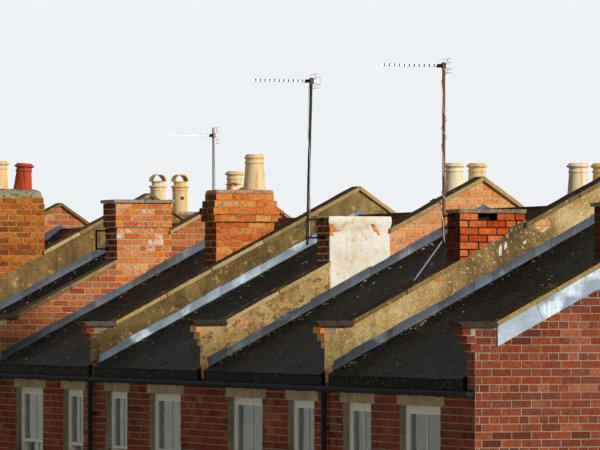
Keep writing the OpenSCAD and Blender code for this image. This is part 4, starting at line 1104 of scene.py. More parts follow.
# slabs that cap stacks 1, 2, 5 and 7, the one on 5 in two stones
capSlab = {"thick": 0.048, "over": {1: 0.04, 2: 0.02, 5: 0.065, 7: 0.04}, "joint": 0.008,
           "edge": 0.007, "rough": 0.006}
rng = random.Random(31)
big = startMesh()
for wall, over in capSlab["over"].items():
    s = stacks[("rear", wall)]
    y0, y1, gap = s["y0"] - over, s["y1"] + over, capSlab["joint"] / 2
    for a, b in [(y0, s["y"] - gap), (s["y"] + gap, y1)] if wall == 5 else [(y0, y1)]:
        bm = startMesh()
        addBlock(bm, at(s["x"], (a + b) / 2, s["top"] + capSlab["thick"] / 2),
                 (s["x1"] - s["x0"] + 2 * over, b - a, capSlab["thick"]))
        subdivide(bm, 5)
        gatherStone(big, bm, rng, capSlab["edge"], capSlab["rough"], 9, wall)
finishPiece("stack_slabs", big, stoneFinish["slab"], "sandstone", ["stack_caps"], 35)

# flaunchings: hand-shaped mortar that rises to the pots
flaunch = {"rise": 0.05, "dome": 0.135, "spread": 1.05, "steep": 0.4}


def layFlaunching(big, side, wall):
    s = stacks[(side, wall)]
    rise = flaunch["dome"] if (side, wall) == ("rear", 6) else flaunch["rise"]
    spread = flaunch["steep"] if (side, wall) == ("rear", 4) else flaunch["spread"]
    out = stackSizes["headOut"] if side == "front" else 0
    deep, long = s["x1"] - s["x0"] + 2 * out, s["y1"] - s["y0"] + 2 * out
    bm = startCube(9)
    for vert in bm.verts:
        up = vert.co.z + 0.5
        inset = 2 * spread * rise * (1 - math.sqrt(1 - 0.96 * up ** 2))
        vert.co = at(s["x"] + (deep - inset) * vert.co.x, s["y"] + (long - inset) * vert.co.y,
                     s["top"] + rise * up)
    roundEdges(bm, 0.012)
    roughen(bm, 0.012 if rise > 0.06 else 0.006, 11, wall)
    for vert in bm.verts:
        vert.co.z = max(vert.co.z, s["top"] - 0.004)
    gather(big, bm, rng.random())


domed = [("rear", 6)] + [("front", wall) for wall in stackSizes["front"]]
for name, kind, places in (("stack_4_flaunching", "pinkish", [("rear", 4)]),
                           ("mortar_flaunchings", "flaunching", domed)):
    big = startMesh()
    for side, wall in places:
        layFlaunching(big, side, wall)
    finishPiece(name, big, stoneFinish[kind], "mortar", ["flaunchings"], 45)
print("slabs and flaunchings made")


# pots: fireclay thrown and fired with a thin salt skin, cream to orange, sooted at the mouth
def clayMaterial(name, palette, stain, gloss=0.55):
    material, tree, shader = startMaterial(name, gloss)
    place = addNode(tree, "TexCoord").outputs["Object"]
    tone = addNode(tree, "Attribute", settings={"attribute_name": "tone"}).outputs["Fac"]
    soot = addNode(tree, "Attribute", settings={"attribute_name": "soot"}).outputs["Fac"]
    cloud = addNode(tree, "TexNoise", {"Vector": place, "Scale": 5, "Detail": 6, "Roughness": 0.6})
    level = addNode(tree, "Mix", {0: 0.66, 2: cloud.outputs["Fac"], 3: tone}, single)
    stops = [(0.15 + 0.7 * i / (len(palette) - 1), colour) for i, colour in enumerate(palette)]
    colour = addNode(tree, "ValToRGB", {"Fac": level.outputs[0]}, stops=stops)
    stretched = addNode(tree, "Mapping", {"Vector": place, "Scale": (8, 8, 1.4)})
    runs = addNode(tree, "TexNoise", {"Vector": stretched.outputs[0], "Scale": 2.4, "Detail": 6})
    cover = addNode(tree, "MapRange", {"Value": runs.outputs["Fac"], 1: 0.5, 2: 0.7, 4: 0.6})
    stained = addNode(tree, "Mix", {0: cover.outputs[0], 6: colour.outputs[0], 7: linear(stain)},
                      rgba)
    smoke = addNode(tree, "TexNoise", {"Vector": place, "Scale": 9, "Detail": 6})
    reach = addNode(tree, "Math", {0: smoke.outputs["Fac"], 1: soot}, addition)
    cover = addNode(tree, "MapRange", {"Value": reach.outputs[0], 1: 0.85, 2: 1.25, 4: 0.92})
    sooted = addNode(tree, "Mix", {0: cover.outputs[0], 6: stained.outputs[2],
                                   7: linear("2B2420")}, rgba)
    grit = addNode(tree, "TexNoise", {"Vector": place, "Scale": 60, "Detail": 5})
    joinShader(tree, shader, sooted.outputs[2], grit.outputs["Fac"], 0.3, 0.002)
    return material


clayFinish = {
    "buff": clayMaterial("buffFireclay", ("F8E8CA", "F0D29A", "E2B66E", "D69C58"), "B98A58"),
    "red": clayMaterial("redTerracotta", ("C65840", "B84A34", "A63C2C"), "7A2E22", 0.6),
    "vent": clayMaterial("ventTerracotta", ("B8563A", "A4482F", "8C3C28"), "6A3024", 0.7),
}


def startPot():
    return startMesh("tone", "soot")


# rounds the corners of a profile with short curves
def roundProfile(points, radius=0.007, steps=3):
    made = []
    for i, point in enumerate(points):
        here = Vector(point)
        ends = []
        for other in (Vector(points[i - 1]), Vector(points[(i + 1) % len(points)])):
            reach = min(radius, (other - here).length * 0.45)
            ends.append(here + (other - here).normalized() * reach)
        for t in [k / steps for k in range(steps + 1)]:
            made.append(ends[0] * (1 - t) ** 2 + here * 2 * t * (1 - t) + ends[1] * t ** 2)
    return made


# radii and heights turned once round the upright axis; a ring's curve closes on itself
def spinCurve(bm, points, steps, closed=False):
    verts = [bm.verts.new((r, 0, z)) for r, z in points]
    edges = [bm.edges.new(pair) for pair in zip(verts, verts[1:] + (verts[:1] if closed else []))]
    bmesh.ops.spin(bm, geom=verts + edges, axis=(0, 0, 1), cent=(0, 0, 0), angle=2 * math.pi,
                   steps=steps, use_merge=True)
    bmesh.ops.remove_doubles(bm, verts=bm.verts[:], dist=0.00001)
    mendNormals(bm)


def spinPot(big, profile, centre, tone, bore, tilt=0.0, sink=0.0):
    bm = startPot()
    points = roundProfile(profile)
    spinCurve(bm, points, 44, True)
    top = max(z for _, z in points)
    # soot lines the bore and fades down from the mouth
    for face in bm.faces:
        middle = face.calc_center_median()
        inside = math.hypot(middle.x, middle.y) < bore + 0.004
        paintFaces(bm, [face], soot=0.9 if inside else max(0, 0.45 - (top - middle.z) * 5))
    place = Matrix.Translation(centre) @ Matrix.Rotation(math.radians(tilt), 4, "X")
    bmesh.ops.transform(bm, matrix=place @ Matrix.Translation((0, 0, -sink)), verts=bm.verts[:])
    for vert in bm.verts:
        vert.co += noise.noise_vector(vert.co * 6) * 0.0012
    gather(big, bm, tone)


pot = {"height": 0.495, "foot": 0.148, "neck": 0.117, "roll": 0.152, "bore": 0.092,
       "spacing": 0.345, "wide": 0.38, "stout": 0.012}


def rollTopProfile(height, stout=0.0):
    foot, neck, roll = pot["foot"] + 0.75 * stout, pot["neck"] + stout / 2, pot["roll"] - stout
    rim = [(neck, 0.128), (neck + 0.012, 0.124), (neck + 0.012, 0.102), (neck, 0.098),
           (neck, 0.066), (roll, 0.05), (roll, 0.032), (roll - 0.02, 0.022), (neck - 0.002, 0),
           (pot["bore"], 0)]
    return [(pot["bore"], 0), (foot, 0), (foot, 0.03), (foot - 0.006, 0.036)] + [
        (r, height - down) for r, down in rim]


# a piece of roll-top pots on one stack: places off its middle, heights, tones, tilt and sinking
def layPots(name, key, rise, node, kind, pots):
    big, s = startPot(), stacks[key]
    for y, height, tone, stout, tilt, sink in pots:
        spinPot(big, rollTopProfile(height, stout), at(s["x"], s["y"] + y, s["top"] + rise), tone,
                pot["bore"], tilt, sink)
    finishPiece(name, big, clayFinish[kind], f"{kind}_terracotta", [node], 28)


for wall, tones in {2: (0.1, 0.35), 3: (0.6, 0.1), 4: (0.4, 0.0), 6: (0.55, 0.3)}.items():
    layPots(f"front_{wall}_pots", ("front", wall), flaunch["rise"], f"pots_front_{wall}", "buff",
            [(side * pot["spacing"] / 2, pot["height"], tone, 0, 0, 0)
             for side, tone in zip((-1, 1), tones)])
stackFour = stacks[("rear", 4)]
layPots("stack_4_pot", ("rear", 4), flaunch["rise"], "pots_rear_4", "buff",
        [(1.372 - stackFour["y"], pot["height"], 0.3, pot["stout"], 0, 0)])
layPots("stack_6_buff_pot", ("rear", 6), flaunch["dome"], "pots_rear_6", "buff",
        [(pot["wide"] / 2, 0.43, 0.45, 0, 0, 0)])
layPots("stack_6_red_pot", ("rear", 6), flaunch["dome"], "pots_rear_6", "red",
        [(-pot["wide"] / 2, 0.42, 0.3, 0, 4, 0.02)])

# low vent pot: a ring of clay, four posts and a conical hat
vent = {"r": 0.062, "wall": 0.016, "body": 0.055, "gap": 0.022, "hat": 0.112, "rise": 0.028,
        "y": 1.683, "post": (0.014, 0.014, 0.03)}
centre = at(stackFour["x"], vent["y"], stackFour["top"] + flaunch["rise"])
inner, hatBase = vent["r"] - vent["wall"], vent["body"] + vent["gap"]
big = startPot()
spinPot(big, [(inner, 0), (vent["r"], 0), (vent["r"], vent["body"]), (inner, vent["body"])], centre,
        0.2, 0.04)
bm = startPot()
for turn in (45, 135, 225, 315):
    around = Matrix.Rotation(math.radians(turn), 3, "Z")
    addBlock(bm, centre + around @ Vector((vent["r"] - 0.008, 0, hatBase - vent["gap"] / 2)),
             vent["post"], [around @ axis for axis in squareAxes])
gather(big, bm, 0.3)
finishPiece("stack_4_vent", big, clayFinish["buff"], "red_terracotta", ["vent_terminal"], 28)
big, bm = startPot(), startPot()
spinCurve(bm, [(0, hatBase), (vent["hat"], hatBase), (vent["hat"], hatBase + 0.006),
               (0.03, hatBase + vent["rise"] - 0.004), (0, hatBase + vent["rise"])], 32)
bmesh.ops.translate(bm, vec=centre, verts=bm.verts[:])
gather(big, bm, 0.2)
finishPiece("stack_4_vent_hat", big, clayFinish["vent"], "red_terracotta", ["vent_terminal"], 28)

# hooded pots on the far wall: a half-round hood, open at both ends
hooded = {"height": 0.5, "r": 0.123, "hood": 0.118, "thick": 0.018, "length": 0.23, "hole": 0.052}
top, r = hooded["height"], hooded["r"]
neck, bore = top - 0.095, hooded["hood"] - hooded["thick"] - 0.012
profile = [(bore, 0), (r, 0), (r, neck - 0.062), (r + 0.008, neck - 0.056),
           (r + 0.008, neck - 0.038), (r, neck - 0.032), (r, neck - 0.022), (r + 0.028, neck),
           (r + 0.028, neck + 0.012), (r - 0.022, neck + 0.034), (r - 0.022, top - 0.03),
           (hooded["hood"], top), (bore, top)]
outer = [(hooded["hood"] * math.cos(a), hooded["hood"] * math.sin(a))
         for a in [math.pi * k / 24 for k in range(25)]]
scale = 1 - hooded["thick"] / hooded["hood"]
outline = outer + [(y * scale, z * scale) for y, z in reversed(outer)]
s = stacks[("front", 7)]
big = startPot()
for side, tone in ((-1, 0.5), (1, 0.25)):
    centre = at(s["x"], s["y"] + side * pot["wide"] / 2, s["top"] + flaunch["rise"])
    spinPot(big, profile, centre, tone, bore)
    bm = startPot()
    extrudeOutline(bm, [(-hooded["length"] / 2, y, z + top) for y, z in outline],
                   (hooded["length"], 0, 0))
    roundEdges(bm, 0.004, 2, 60)
    bmesh.ops.translate(bm, vec=centre, verts=bm.verts[:])
    gather(big, bm, tone)
    # the far pot has a square hole in its side, drawn as a thin patch sooted all over whose dark
    # also stands in as painted shade for the inside of the hole
    if side < 0:
        bm, hole = startPot(), hooded["hole"]
        addBlock(bm, centre + Vector((0.002 - r, 0, (top - hole) / 2)), (0.006, hole, hole))
        paintFaces(bm, bm.faces, soot=1)
        gather(big, bm, 0.9)
finishPiece("hooded_pot_pair", big, clayFinish["buff"], "buff_terracotta", ["hooded_pots"], 28)
print("pots made")


# iron and steel: paint or zinc with rust that breaks through in blots and runs
def rustMaterial(name, coat, rust, deepRust, cover, roughness=0.75):
    material, tree, shader = startMaterial(name, roughness)
    place = addNode(tree, "TexCoord").outputs["Object"]
    shade = addNode(tree, "TexNoise",
                    {"Vector": place, "Scale": 22, "Detail": 6, "Roughness": 0.7})
    rusty = addNode(tree, "ValToRGB", {"Fac": shade.outputs["Fac"]},
                    stops=[(0.35, deepRust), (0.52, rust), (0.7, deepRust)])
    stretched = addNode(tree, "Mapping", {"Vector": place, "Scale": (4, 4, 1.1)})
    blots = addNode(tree, "TexNoise", {"Vector": stretched.outputs[0], "Scale": 4.5, "Detail": 8,
                                       "Roughness": 0.7})
    share = addNode(tree, "MapRange", {"Value": blots.outputs["Fac"], 1: 0.68 - cover,
                                       2: 0.76 - cover})
    rusted = addNode(tree, "Mix", {0: share.outputs[0], 6: linear(coat), 7: rusty.outputs[0]},
                     rgba)
    flakes = addNode(tree, "TexNoise", {"Vector": place, "Scale": 120, "Detail": 5})
    joinShader(tree, shader, rusted.outputs[2], flakes.outputs["Fac"], 0.4, 0.0012)
    return material


# smooth factory surfaces: one colour, faintly clouded by dirt
def plainMaterial(name, colour, dirt, roughness, metallic=0.0):
    material, tree, shader = startMaterial(name, roughness, metallic)
    place = addNode(tree, "TexCoord").outputs["Object"]
    cloud = addNode(tree, "TexNoise",
                    {"Vector": place, "Scale": 6, "Detail": 7, "Roughness": 0.65})
    share = addNode(tree, "MapRange", {"Value": cloud.outputs["Fac"], 1: 0.45, 2: 0.72, 4: 0.35})
    mixed = addNode(tree, "Mix", {0: share.outputs[0], 6: linear(colour), 7: linear(dirt)}, rgba)
    fine = addNode(tree, "TexNoise", {"Vector": place, "Scale": 45, "Detail": 4})
    joinShader(tree, shader, mixed.outputs[2], fine.outputs["Fac"], 0.12, 0.001)
    return material


# a round bar along points, closed at both ends
def sweepTube(big, points, radius, sides=10):
    points = [Vector(point) for point in points]
    bm, rings = startMesh(), []
    for i, point in enumerate(points):
        way = points[min(i + 1, len(points) - 1)] - points[max(i - 1, 0)]
        turn = Matrix.Translation(point) @ way.to_track_quat("Z", "Y").to_matrix().to_4x4()
        ring = bmesh.ops.create_circle(bm, cap_ends=False, radius=radius, segments=sides,
                                       matrix=turn)["verts"]
        rings.append(list({edge for vert in ring for edge in vert.link_edges}))
    for first, second in zip(rings, rings[1:]):
        bmesh.ops.bridge_loops(bm, edges=first + second)
    bmesh.ops.holes_fill(bm, edges=rings[0] + rings[-1], sides=sides)
    mendNormals(bm)
    gather(big, bm, 0.5)


def addBars(big, bars, edge=0.0015, tone=0.5):
    bm = startMesh()
    for centre, size in bars:
        addBlock(bm, centre, size)
    roundEdges(bm, edge, 1)
    gather(big, bm, tone)


metal = {
    "rustyMast": rustMaterial("rustedSteel", "7C5A48", "9C5A38", "5C3424", 0.22),
    "flakedMast": rustMaterial("flakedPaintTube", "463E3A", "8C7F74", "2C2420", 0.12),
    "bracket": rustMaterial("blackenedBracket", "2A2523", "6A3E28", "3A241A", 0.06),
    "greyMast": rustMaterial("galvanisedTube", "A8A9A6", "94664A", "6E4632", 0.02, 0.5),
    "zinc": plainMaterial("zincCoatedRod", "A9BFD2", "7E8E9C", 0.45, 0.3),
    "aluminium": plainMaterial("weatheredAluminium", "DCDDDC", "A8A49C", 0.36, 1.0),
    "plastic": plainMaterial("blackPlastic", "1E1E20", "34322F", 0.5),
    "cable": plainMaterial("whiteCoax", "E6DFD0", "A69880", 0.5),
    "iron": rustMaterial("paintedCastIron", "2B2E30", "6B4028", "452A1E", 0.02, 0.5),
}

# masts: thin steel tubes on brackets; a bracket is its height and how far its seat stands out
mast = {"r": 0.019, "bar": 0.024, "plate": 0.006, "bend": 0.006, "strap": 1.115,
        "stay": (0.45, 0.7), "stayR": 0.009, "empty": (0.156, 0.265)}
mastPlaces = {
    2: {"x": stacks[("rear", 2)]["x"], "face": 2.15, "off": 0.13, "lean": 0.0, "foot": 1.03,
        "top": 3.19, "brackets": ((1.335, 0), (1.189, 0)), "coat": "rustyMast"},
    3: {"x": stacks[("rear", 3)]["x"], "face": 2.13, "off": 0.225, "lean": 0.06, "foot": 1.03,
        "top": 3.19, "brackets": ((1.36, 0.015), (1.126, 0)), "coat": "flakedMast"},
    6: {"x": stacks[("front", 6)]["x"], "face": -1.22, "off": 0.1, "lean": 0.0, "foot": 1.277,
        "top": 3.03, "brackets": ((1.541, 0), (1.365, 0)), "coat": "greyMast"},
}


def mastY(wall, up):
    m = mastPlaces[wall]
    return ridgeY + m["face"] + m["off"] - m["lean"] * (up - m["foot"]) / (m["top"] - m["foot"])


def onMast(wall, up, side=0.0, out=0.0):
    sway = noise.noise_vector(Vector((wall * 7.7, 0, up * 0.8))) * mast["bend"]
    return Vector((mastPlaces[wall]["x"] + sway.x + side, mastY(wall, up) + sway.y + out,
                   kneelerZ + up))


def addBracket(big, x, y, z, reach, loopY=None):
    bar, plate = mast["bar"], mast["plate"]
    addBars(big, [((x, y + plate / 2, z), (5 * bar, plate, 2 * bar)),
                  ((x, y + reach / 2, z), (plate, reach, bar)),
                  ((x, y + reach / 2, z - bar / 2 + plate / 2), (bar, reach, plate))])
    for bolt in (x - 2 * bar, x + 2 * bar):
        sweepTube(big, [(bolt, y, z), (bolt, y + 0.016, z)], 0.007, 6)
    for up in (-0.012, 0.012) if loopY else ():
        sweepTube(big, [(x + 0.025 * math.cos(a), loopY + 0.025 * math.sin(a), z + up)
                        for a in [math.radians(-90 + 30 * k) for k in range(13)]], 0.005, 6)


for wall, m in mastPlaces.items():
    big, rise = startMesh(), (m["top"] - m["foot"]) / 24
    sweepTube(big, [onMast(wall, m["foot"] + rise * i) for i in range(25)], mast["r"], 14)
    finishPiece(f"mast_{wall}", big, metal[m["coat"]], "mast_steel", ["aerial_masts"], 40)
big = startMesh()
for wall, m in mastPlaces.items():
    for up, out in m["brackets"]:
        seat = ridgeY + m["face"] + out
        addBracket(big, m["x"], seat, kneelerZ + up, mastY(wall, up) - seat, mastY(wall, up))
# a bent rod lashes the two brackets of mast 3 together
m = mastPlaces[3]
sweepTube(big, [at(m["x"] - 0.02, m["face"] + 0.05 + 0.07 * math.sin(math.pi * k / 10),
                   kneelerZ + 1.35 - 0.022 * k) for k in range(11)], 0.006, 6)
# the empty bracket on stack 5
s, bar = stacks[("rear", 5)], mast["bar"]
x, y, z = s["x1"] - 3 * bar, ridgeY + s["y1"], s["top"] - 4 * course - 2 * bar
reach, tall = mast["empty"]
for low in (0, tall):
    addBracket(big, x, y, z - low, reach + bar)
addBars(big, [((x, y + reach + bar / 2, z - tall / 2), (bar, bar, tall))], 0.003)
# a strap is left on stack 2 and passes its nearer corner
s = stacks[("rear", 2)]
addBars(big, [(at((s["x0"] + s["x"] - bar) / 2, s["y1"] + 0.007, kneelerZ + mast["strap"]),
               ((s["x1"] - s["x0"]) / 2 + bar, mast["plate"], bar))])
finishPiece("mast_brackets", big, metal["bracket"], "mast_steel", ["aerial_masts"], 40)

# the stay from the foot of the nearest mast down to a plate on the slates
big, bm, m = startMesh(), startMesh(), mastPlaces[2]
foot = onMast(2, m["foot"] + mast["r"])
seatY = m["face"] + m["off"] + mast["stay"][1]
seat = at(foot.x + mast["stay"][0], seatY, slateZ(seatY) + 0.012)
sweepTube(big, [foot, foot.lerp(seat, 0.5) + Vector((0, 0, 0.012)), seat], mast["stayR"], 8)
tip = Matrix.Rotation(-row["rearPitch"], 3, "X")
addBlock(bm, seat - upward * 0.001, (4 * bar, 4 * bar, mast["plate"]),
         [tip @ axis for axis in squareAxes])
roundEdges(bm, 0.0015, 1)
gather(big, bm, 0.5)
finishPiece("mast_stay", big, metal["zinc"], "mast_steel", ["aerial_masts"], 40)


# coax from the aerial down its mast; on the nearest mast it winds round in slack turns
def runCoax(big, wall, turns, start):
    high, low = mastPlaces[wall]["top"] - 0.06, mastPlaces[wall]["foot"] - 0.02
    points, steps = [], int(max(turns, 1) * 16 + 30)
    for share in [i / steps for i in range(steps + 1)]:
        reach = mast["r"] + 0.008 + 0.01 * abs(noise.noise(Vector((wall, share * 9, 0))))
        a = start + turns * 2 * math.pi * (share + 0.06 * math.sin(share * 17))
        points.append(onMast(wall, high - (high - low) * share, math.cos(a) * reach,
                             math.sin(a) * reach))
    sweepTube(big, points, 0.004, 6)


big = startMesh()
for wall, turns, start in ((2, 5.5, 2.2), (3, 0.8, 0.4), (6, 0.6, 2.8)):
    runCoax(big, wall, turns, start)
finishPiece("coax_leads", big, metal["cable"], "mast_steel", ["aerial_masts"], 60)
print("masts made")

# aerials: a square boom with short directors in clips, a dipole box and a reflector of rods
aerial = {"boom": 0.021, "directors": 13, "director": 0.15, "rod": 0.004, "back": 0.08,
          "bend": (0.022, 0.01, 0.004)}
aerialPlaces = {2: {"down": 0.042, "rods": 0.3, "rise": 0.085, "length": 0.9},
                3: {"down": 0.042, "rods": 0.35, "rise": 0.09, "length": 0.9},
                6: {"down": 0.126, "rods": 0.3, "rise": 0.125, "length": 0.765}}


def addRod(x, y, z, length):
    sweepTube(booms, [(x - length / 2, y, z), (x + length / 2, y, z)], aerial["rod"], 8)


booms, clips, clamps = startMesh(), startMesh(), startMesh()
for wall, place in aerialPlaces.items():
    m, boom, length, rise = mastPlaces[wall], aerial["boom"], place["length"], place["rise"]
    z = kneelerZ + m["top"] - place["down"]
    x0 = m["x"] + mast["r"] + boom / 2
    y0 = mastY(wall, m["top"]) - aerial["back"]
    addBars(booms, [((x0, y0 + length / 2, z), (boom, length, boom))], 0.002)
    pitch = length / (aerial["directors"] + 1)
    bars = []
    for n in range(3, aerial["directors"] + 1):
        y = y0 + n * pitch
        addRod(x0, y, z + 0.012, aerial["director"] * (1.15 - 0.02 * n))
        bars.append(((x0, y, z + 0.001), (boom + 0.006, 0.014, boom + 0.01)))
    addBars(booms if wall == 6 else clips, bars)
    # dipole with its junction box, two pitches in front of the reflector
    y = y0 + 2.1 * pitch
    addBars(clips, [((x0, y, z + 0.014), (0.2, 0.014, 0.012)),
                    ((x0, y - 0.006, z), (0.062, 0.055, 0.042))])
    # the struts are bent like a chevron; the reflector on mast 3 is a grid with three of them
    tip, half, fold = aerial["bend"]
    for share, back in ((-1, tip), (-0.5, half), (0.5, half), (1, tip)):
        addRod(x0, y0 + back, z + share * rise, place["rods"])
    for side in (-1, 0, 1) if wall == 3 else (0,):
        x = x0 + side * (place["rods"] / 2 - aerial["rod"])
        sweepTube(booms, [(x, y0 + tip, z - rise), (x, y0 + fold, z), (x, y0 + tip, z + rise)],
                  0.0035 if side else 0.006, 8)
    y = mastY(wall, m["top"])
    addBars(clamps, [((m["x"] - 0.004, y, z), (0.052, 0.05, 0.07)),
                     ((m["x"] + 0.026, y, z + 0.018), (0.03, 0.06, 0.012))], 0.004)
for name, big, kind, slot in (("booms", booms, "aluminium", "aerial_aluminium"),
                              ("clips", clips, "plastic", "aerial_aluminium"),
                              ("clamps", clamps, "rustyMast", "mast_steel")):
    finishPiece(f"aerial_{name}", big, metal[kind], slot, ["aerial_heads"], 40)
print("aerials made")

# gutters and downpipes of painted cast iron
gutter = {"r": 0.058, "thick": 0.006, "y": 0.066, "drop": 0.012, "length": 1.8, "collar": 0.07,
          "pipe": 0.034, "spigot": 0.06, "shoe": 0.09, "pipeWalls": (2, 4, 6)}
lowerHalf = [math.pi + math.pi * k / 14 for k in range(15)]


def addArch(x, length, y, z, outer, inner, tone=0.5):
    outline = [(outer * math.cos(a), outer * math.sin(a)) for a in lowerHalf]
    if inner:
        outline += [(inner * math.cos(a), inner * math.sin(a)) for a in reversed(lowerHalf)]
    bm = startMesh()
    extrudeOutline(bm, [(x, y + u, z + v) for u, v in outline], (length, 0, 0))
    gather(gutterRun, bm, tone)


def addPipe(big, x, y, z0, z1, radius):
    sweepTube(big, [(x, y, z0), (x, y, z1)], radius, 20)


gutterRun, pipes = startMesh(), startMesh()
for sign, run in runs.items():
    rim = slateZ(sign * (run + row["eavesOver"])) - row["slabThick"] - gutter["drop"]
    y, r, pipe = ridgeY + sign * (run + gutter["y"]), gutter["r"], gutter["pipe"]
    long = rowEnds[1] - rowEnds[0]
    addArch(rowEnds[0], long, y, rim, r, r - gutter["thick"])
    lip = y + sign * (r - 0.003)
    sweepTube(gutterRun, [(x, lip, rim) for x in rowEnds], 0.007, 8)
    for x in (rowEnds[0], rowEnds[1] - gutter["thick"]):
        addArch(x, gutter["thick"], y, rim, r, None)
    joints = round(long / gutter["length"])
    for i in range(1, joints):
        x = rowEnds[0] + long * i / joints - gutter["collar"] / 2
        addArch(x, gutter["collar"], y, rim, r + 0.005, r, 0.3)
    # brackets: a block on the wall and a strap under the channel
    clear, gap = row["bayWidth"] - row["wallThick"], gutter["y"] - r + gutter["thick"]
    for x in [bayX(bay) + k * clear / 3 for bay in bays for k in (-1, 0, 1)]:
        addBars(gutterRun, [(at(x, sign * (run + gap / 2), rim - 0.0255), (0.03, gap, 0.039))],
                0.002)
        sweepTube(gutterRun, [(x, y - sign * (r + 0.004) * math.cos(a),
                               rim - (r + 0.004) * math.sin(a))
                              for a in [math.pi * j / 10 for j in range(11)]], 0.004, 6)
    top, shoe = rim - r - gutter["spigot"], gutter["shoe"]
    for x in [middleX(wall) for wall in gutter["pipeWalls"]]:
        addPipe(gutterRun, x, y, top, rim - r + 0.004, pipe)
        addPipe(pipes, x, y, shoe, top, pipe - 0.001)
        for z in (shoe + 0.22, 2.0, 3.8, top):
            addPipe(pipes, x, y, z - 0.035, z + 0.03, pipe + 0.005)
        for z in [shoe + share * (top - shoe) for share in (0.08, 0.5, 0.92)]:
            addBars(pipes, [(at(x + side * 0.034, sign * (run + gutter["y"] / 2), z),
                             (0.022, gutter["y"], 0.04)) for side in (-1, 1)], 0.002)
            addPipe(pipes, x, y, z - 0.018, z + 0.018, pipe + 0.004)
finishPiece("gutter_runs", gutterRun, metal["iron"], "gutter_iron", ["gutters"], 35)
finishPiece("rainwater_pipes", pipes, metal["iron"], "gutter_iron", ["downpipes"], 35)
print("gutters and pipes made")

# painted joinery: sash windows with bars, panelled doors in rebated frames
joinery = {"reveal": 0.075, "depth": 0.09, "frame": 0.055, "sash": 0.042, "sashThick": 0.038,
           "bar": 0.022, "edge": 0.003, "leafHigh": 1.94, "leafThick": 0.044, "ground": 0.15,
           "stile": 0.11, "panelLow": 0.62, "panelSink": 0.009, "gap": 0.003}
paint = {
    "cream": plainMaterial("agedCreamPaint", "E8E2D2", "B4A68C", 0.5),
    "green": plainMaterial("bottleGreenPaint", "1F3A2C", "3A4A38", 0.35),
    "brass": plainMaterial("tarnishedBrass", "B08D4A", "6E5A34", 0.35, 1.0),
}


# a bar in a wall: its place along, into and up the wall, and its size
def wallBar(sign, x, depth, z, size):
    return at(x, sign * (runs[sign] - depth), z), size


def frameBars(sign, x, z, w, h, edge, y, thick):
    middle = y + thick / 2
    posts = [wallBar(sign, side, middle, z + h / 2, (edge, thick, h))
             for side in (x + edge / 2, x + w - edge / 2)]
    return posts + [wallBar(sign, x + w / 2, middle, up, (w - 2 * edge, thick - 0.001, edge))
                    for up in (z + edge / 2, z + h - edge / 2)]


f, s, thick = joinery["frame"], joinery["sash"], joinery["sashThick"]
sashY = joinery["reveal"] + joinery["depth"] / 2 - thick
big = startMesh()
for sign in runs:
    for x, z, w, h in windows:
        halfH = (h - 2 * f + s) / 2
        meet = z + h - f - halfH
        addBars(big, frameBars(sign, x, z, w, h, f, joinery["reveal"], joinery["depth"]),
                joinery["edge"])
        for y, low in ((sashY, meet), (sashY + thick, z + f)):
            bars = frameBars(sign, x + f, low, w - 2 * f, halfH, s, y, thick)
            bars.append(wallBar(sign, x + w / 2, y + thick / 2, low + halfH / 2,
                                (joinery["bar"], thick - 0.006, halfH - 2 * s + 0.004)))
            addBars(big, bars, joinery["edge"], 0.6)
        # horns under the upper sash
        for side in (x + f + s / 2, x + w - f - s / 2):
            addBars(big, [wallBar(sign, side, sashY + thick / 2, meet - 0.02,
                                  (s - 0.006, thick - 0.004, 0.04))], 0.008, 0.6)
finishPiece("sash_windows", big, paint["cream"], "painted_joinery", ["window_frames"], 35)


# leaf: stiles, rails and four fielded panels
def layLeaf(sign, x, w, middle):
    low, high, thick = joinery["ground"], joinery["leafHigh"], joinery["leafThick"]
    stile, gap, panelLow = joinery["stile"], joinery["gap"], joinery["panelLow"]
    panelW = (w - 3 * stile) / 2
    panelHigh = high - panelLow - 3.5 * stile
    bars = [wallBar(sign, side, middle, low + high / 2, (stile - gap, thick, high - 2 * gap))
            for side in (x + (stile + gap) / 2, x + w - (stile + gap) / 2)]
    bars.append(wallBar(sign, x + w / 2, middle, low + high / 2, (stile, thick, high - 0.02)))
    bars += [wallBar(sign, x + w / 2, middle, low + up,
                     (w - 2 * stile + 0.002, thick - 0.002, tall - 2 * gap))
             for up, tall in ((0.75 * stile, 1.5 * stile), (2 * stile + panelLow, stile),
                              (high - 0.5 * stile, stile))]
    addBars(leaves, bars, 0.002)
    plate, face = thick - 2 * joinery["panelSink"], middle - thick / 2 + 0.006
    for px in (x + stile + panelW / 2, x + 2 * stile + 1.5 * panelW):
        for up, tall in ((low + 1.5 * stile + panelLow / 2, panelLow),
                         (low + 2.5 * stile + panelLow + panelHigh / 2, panelHigh)):
            addBars(leaves, [wallBar(sign, px, middle, up, (panelW + 0.004, plate, tall + 0.004))],
                    0.001)
            addBars(leaves, [wallBar(sign, px, middle - 0.0035, up,
                                     (panelW - 0.07, plate, tall - 0.07))], 0.006)
            moulds = [wallBar(sign, px + e * (panelW / 2 - 0.008), face, up, (0.016, 0.012, tall))
                      for e in (-1, 1)]
            moulds += [wallBar(sign, px, face, up + e * (tall / 2 - 0.008),
                               (panelW, 0.011, 0.016)) for e in (-1, 1)]
            addBars(leaves, moulds, 0.004)


# knob, letter plate on the street doors, and hinges
knobProfile = [(0, 0), (0.024, 0), (0.024, 0.005), (0.009, 0.008), (0.009, 0.026), (0.022, 0.034),
               (0.026, 0.044), (0.022, 0.054), (0, 0.058)]


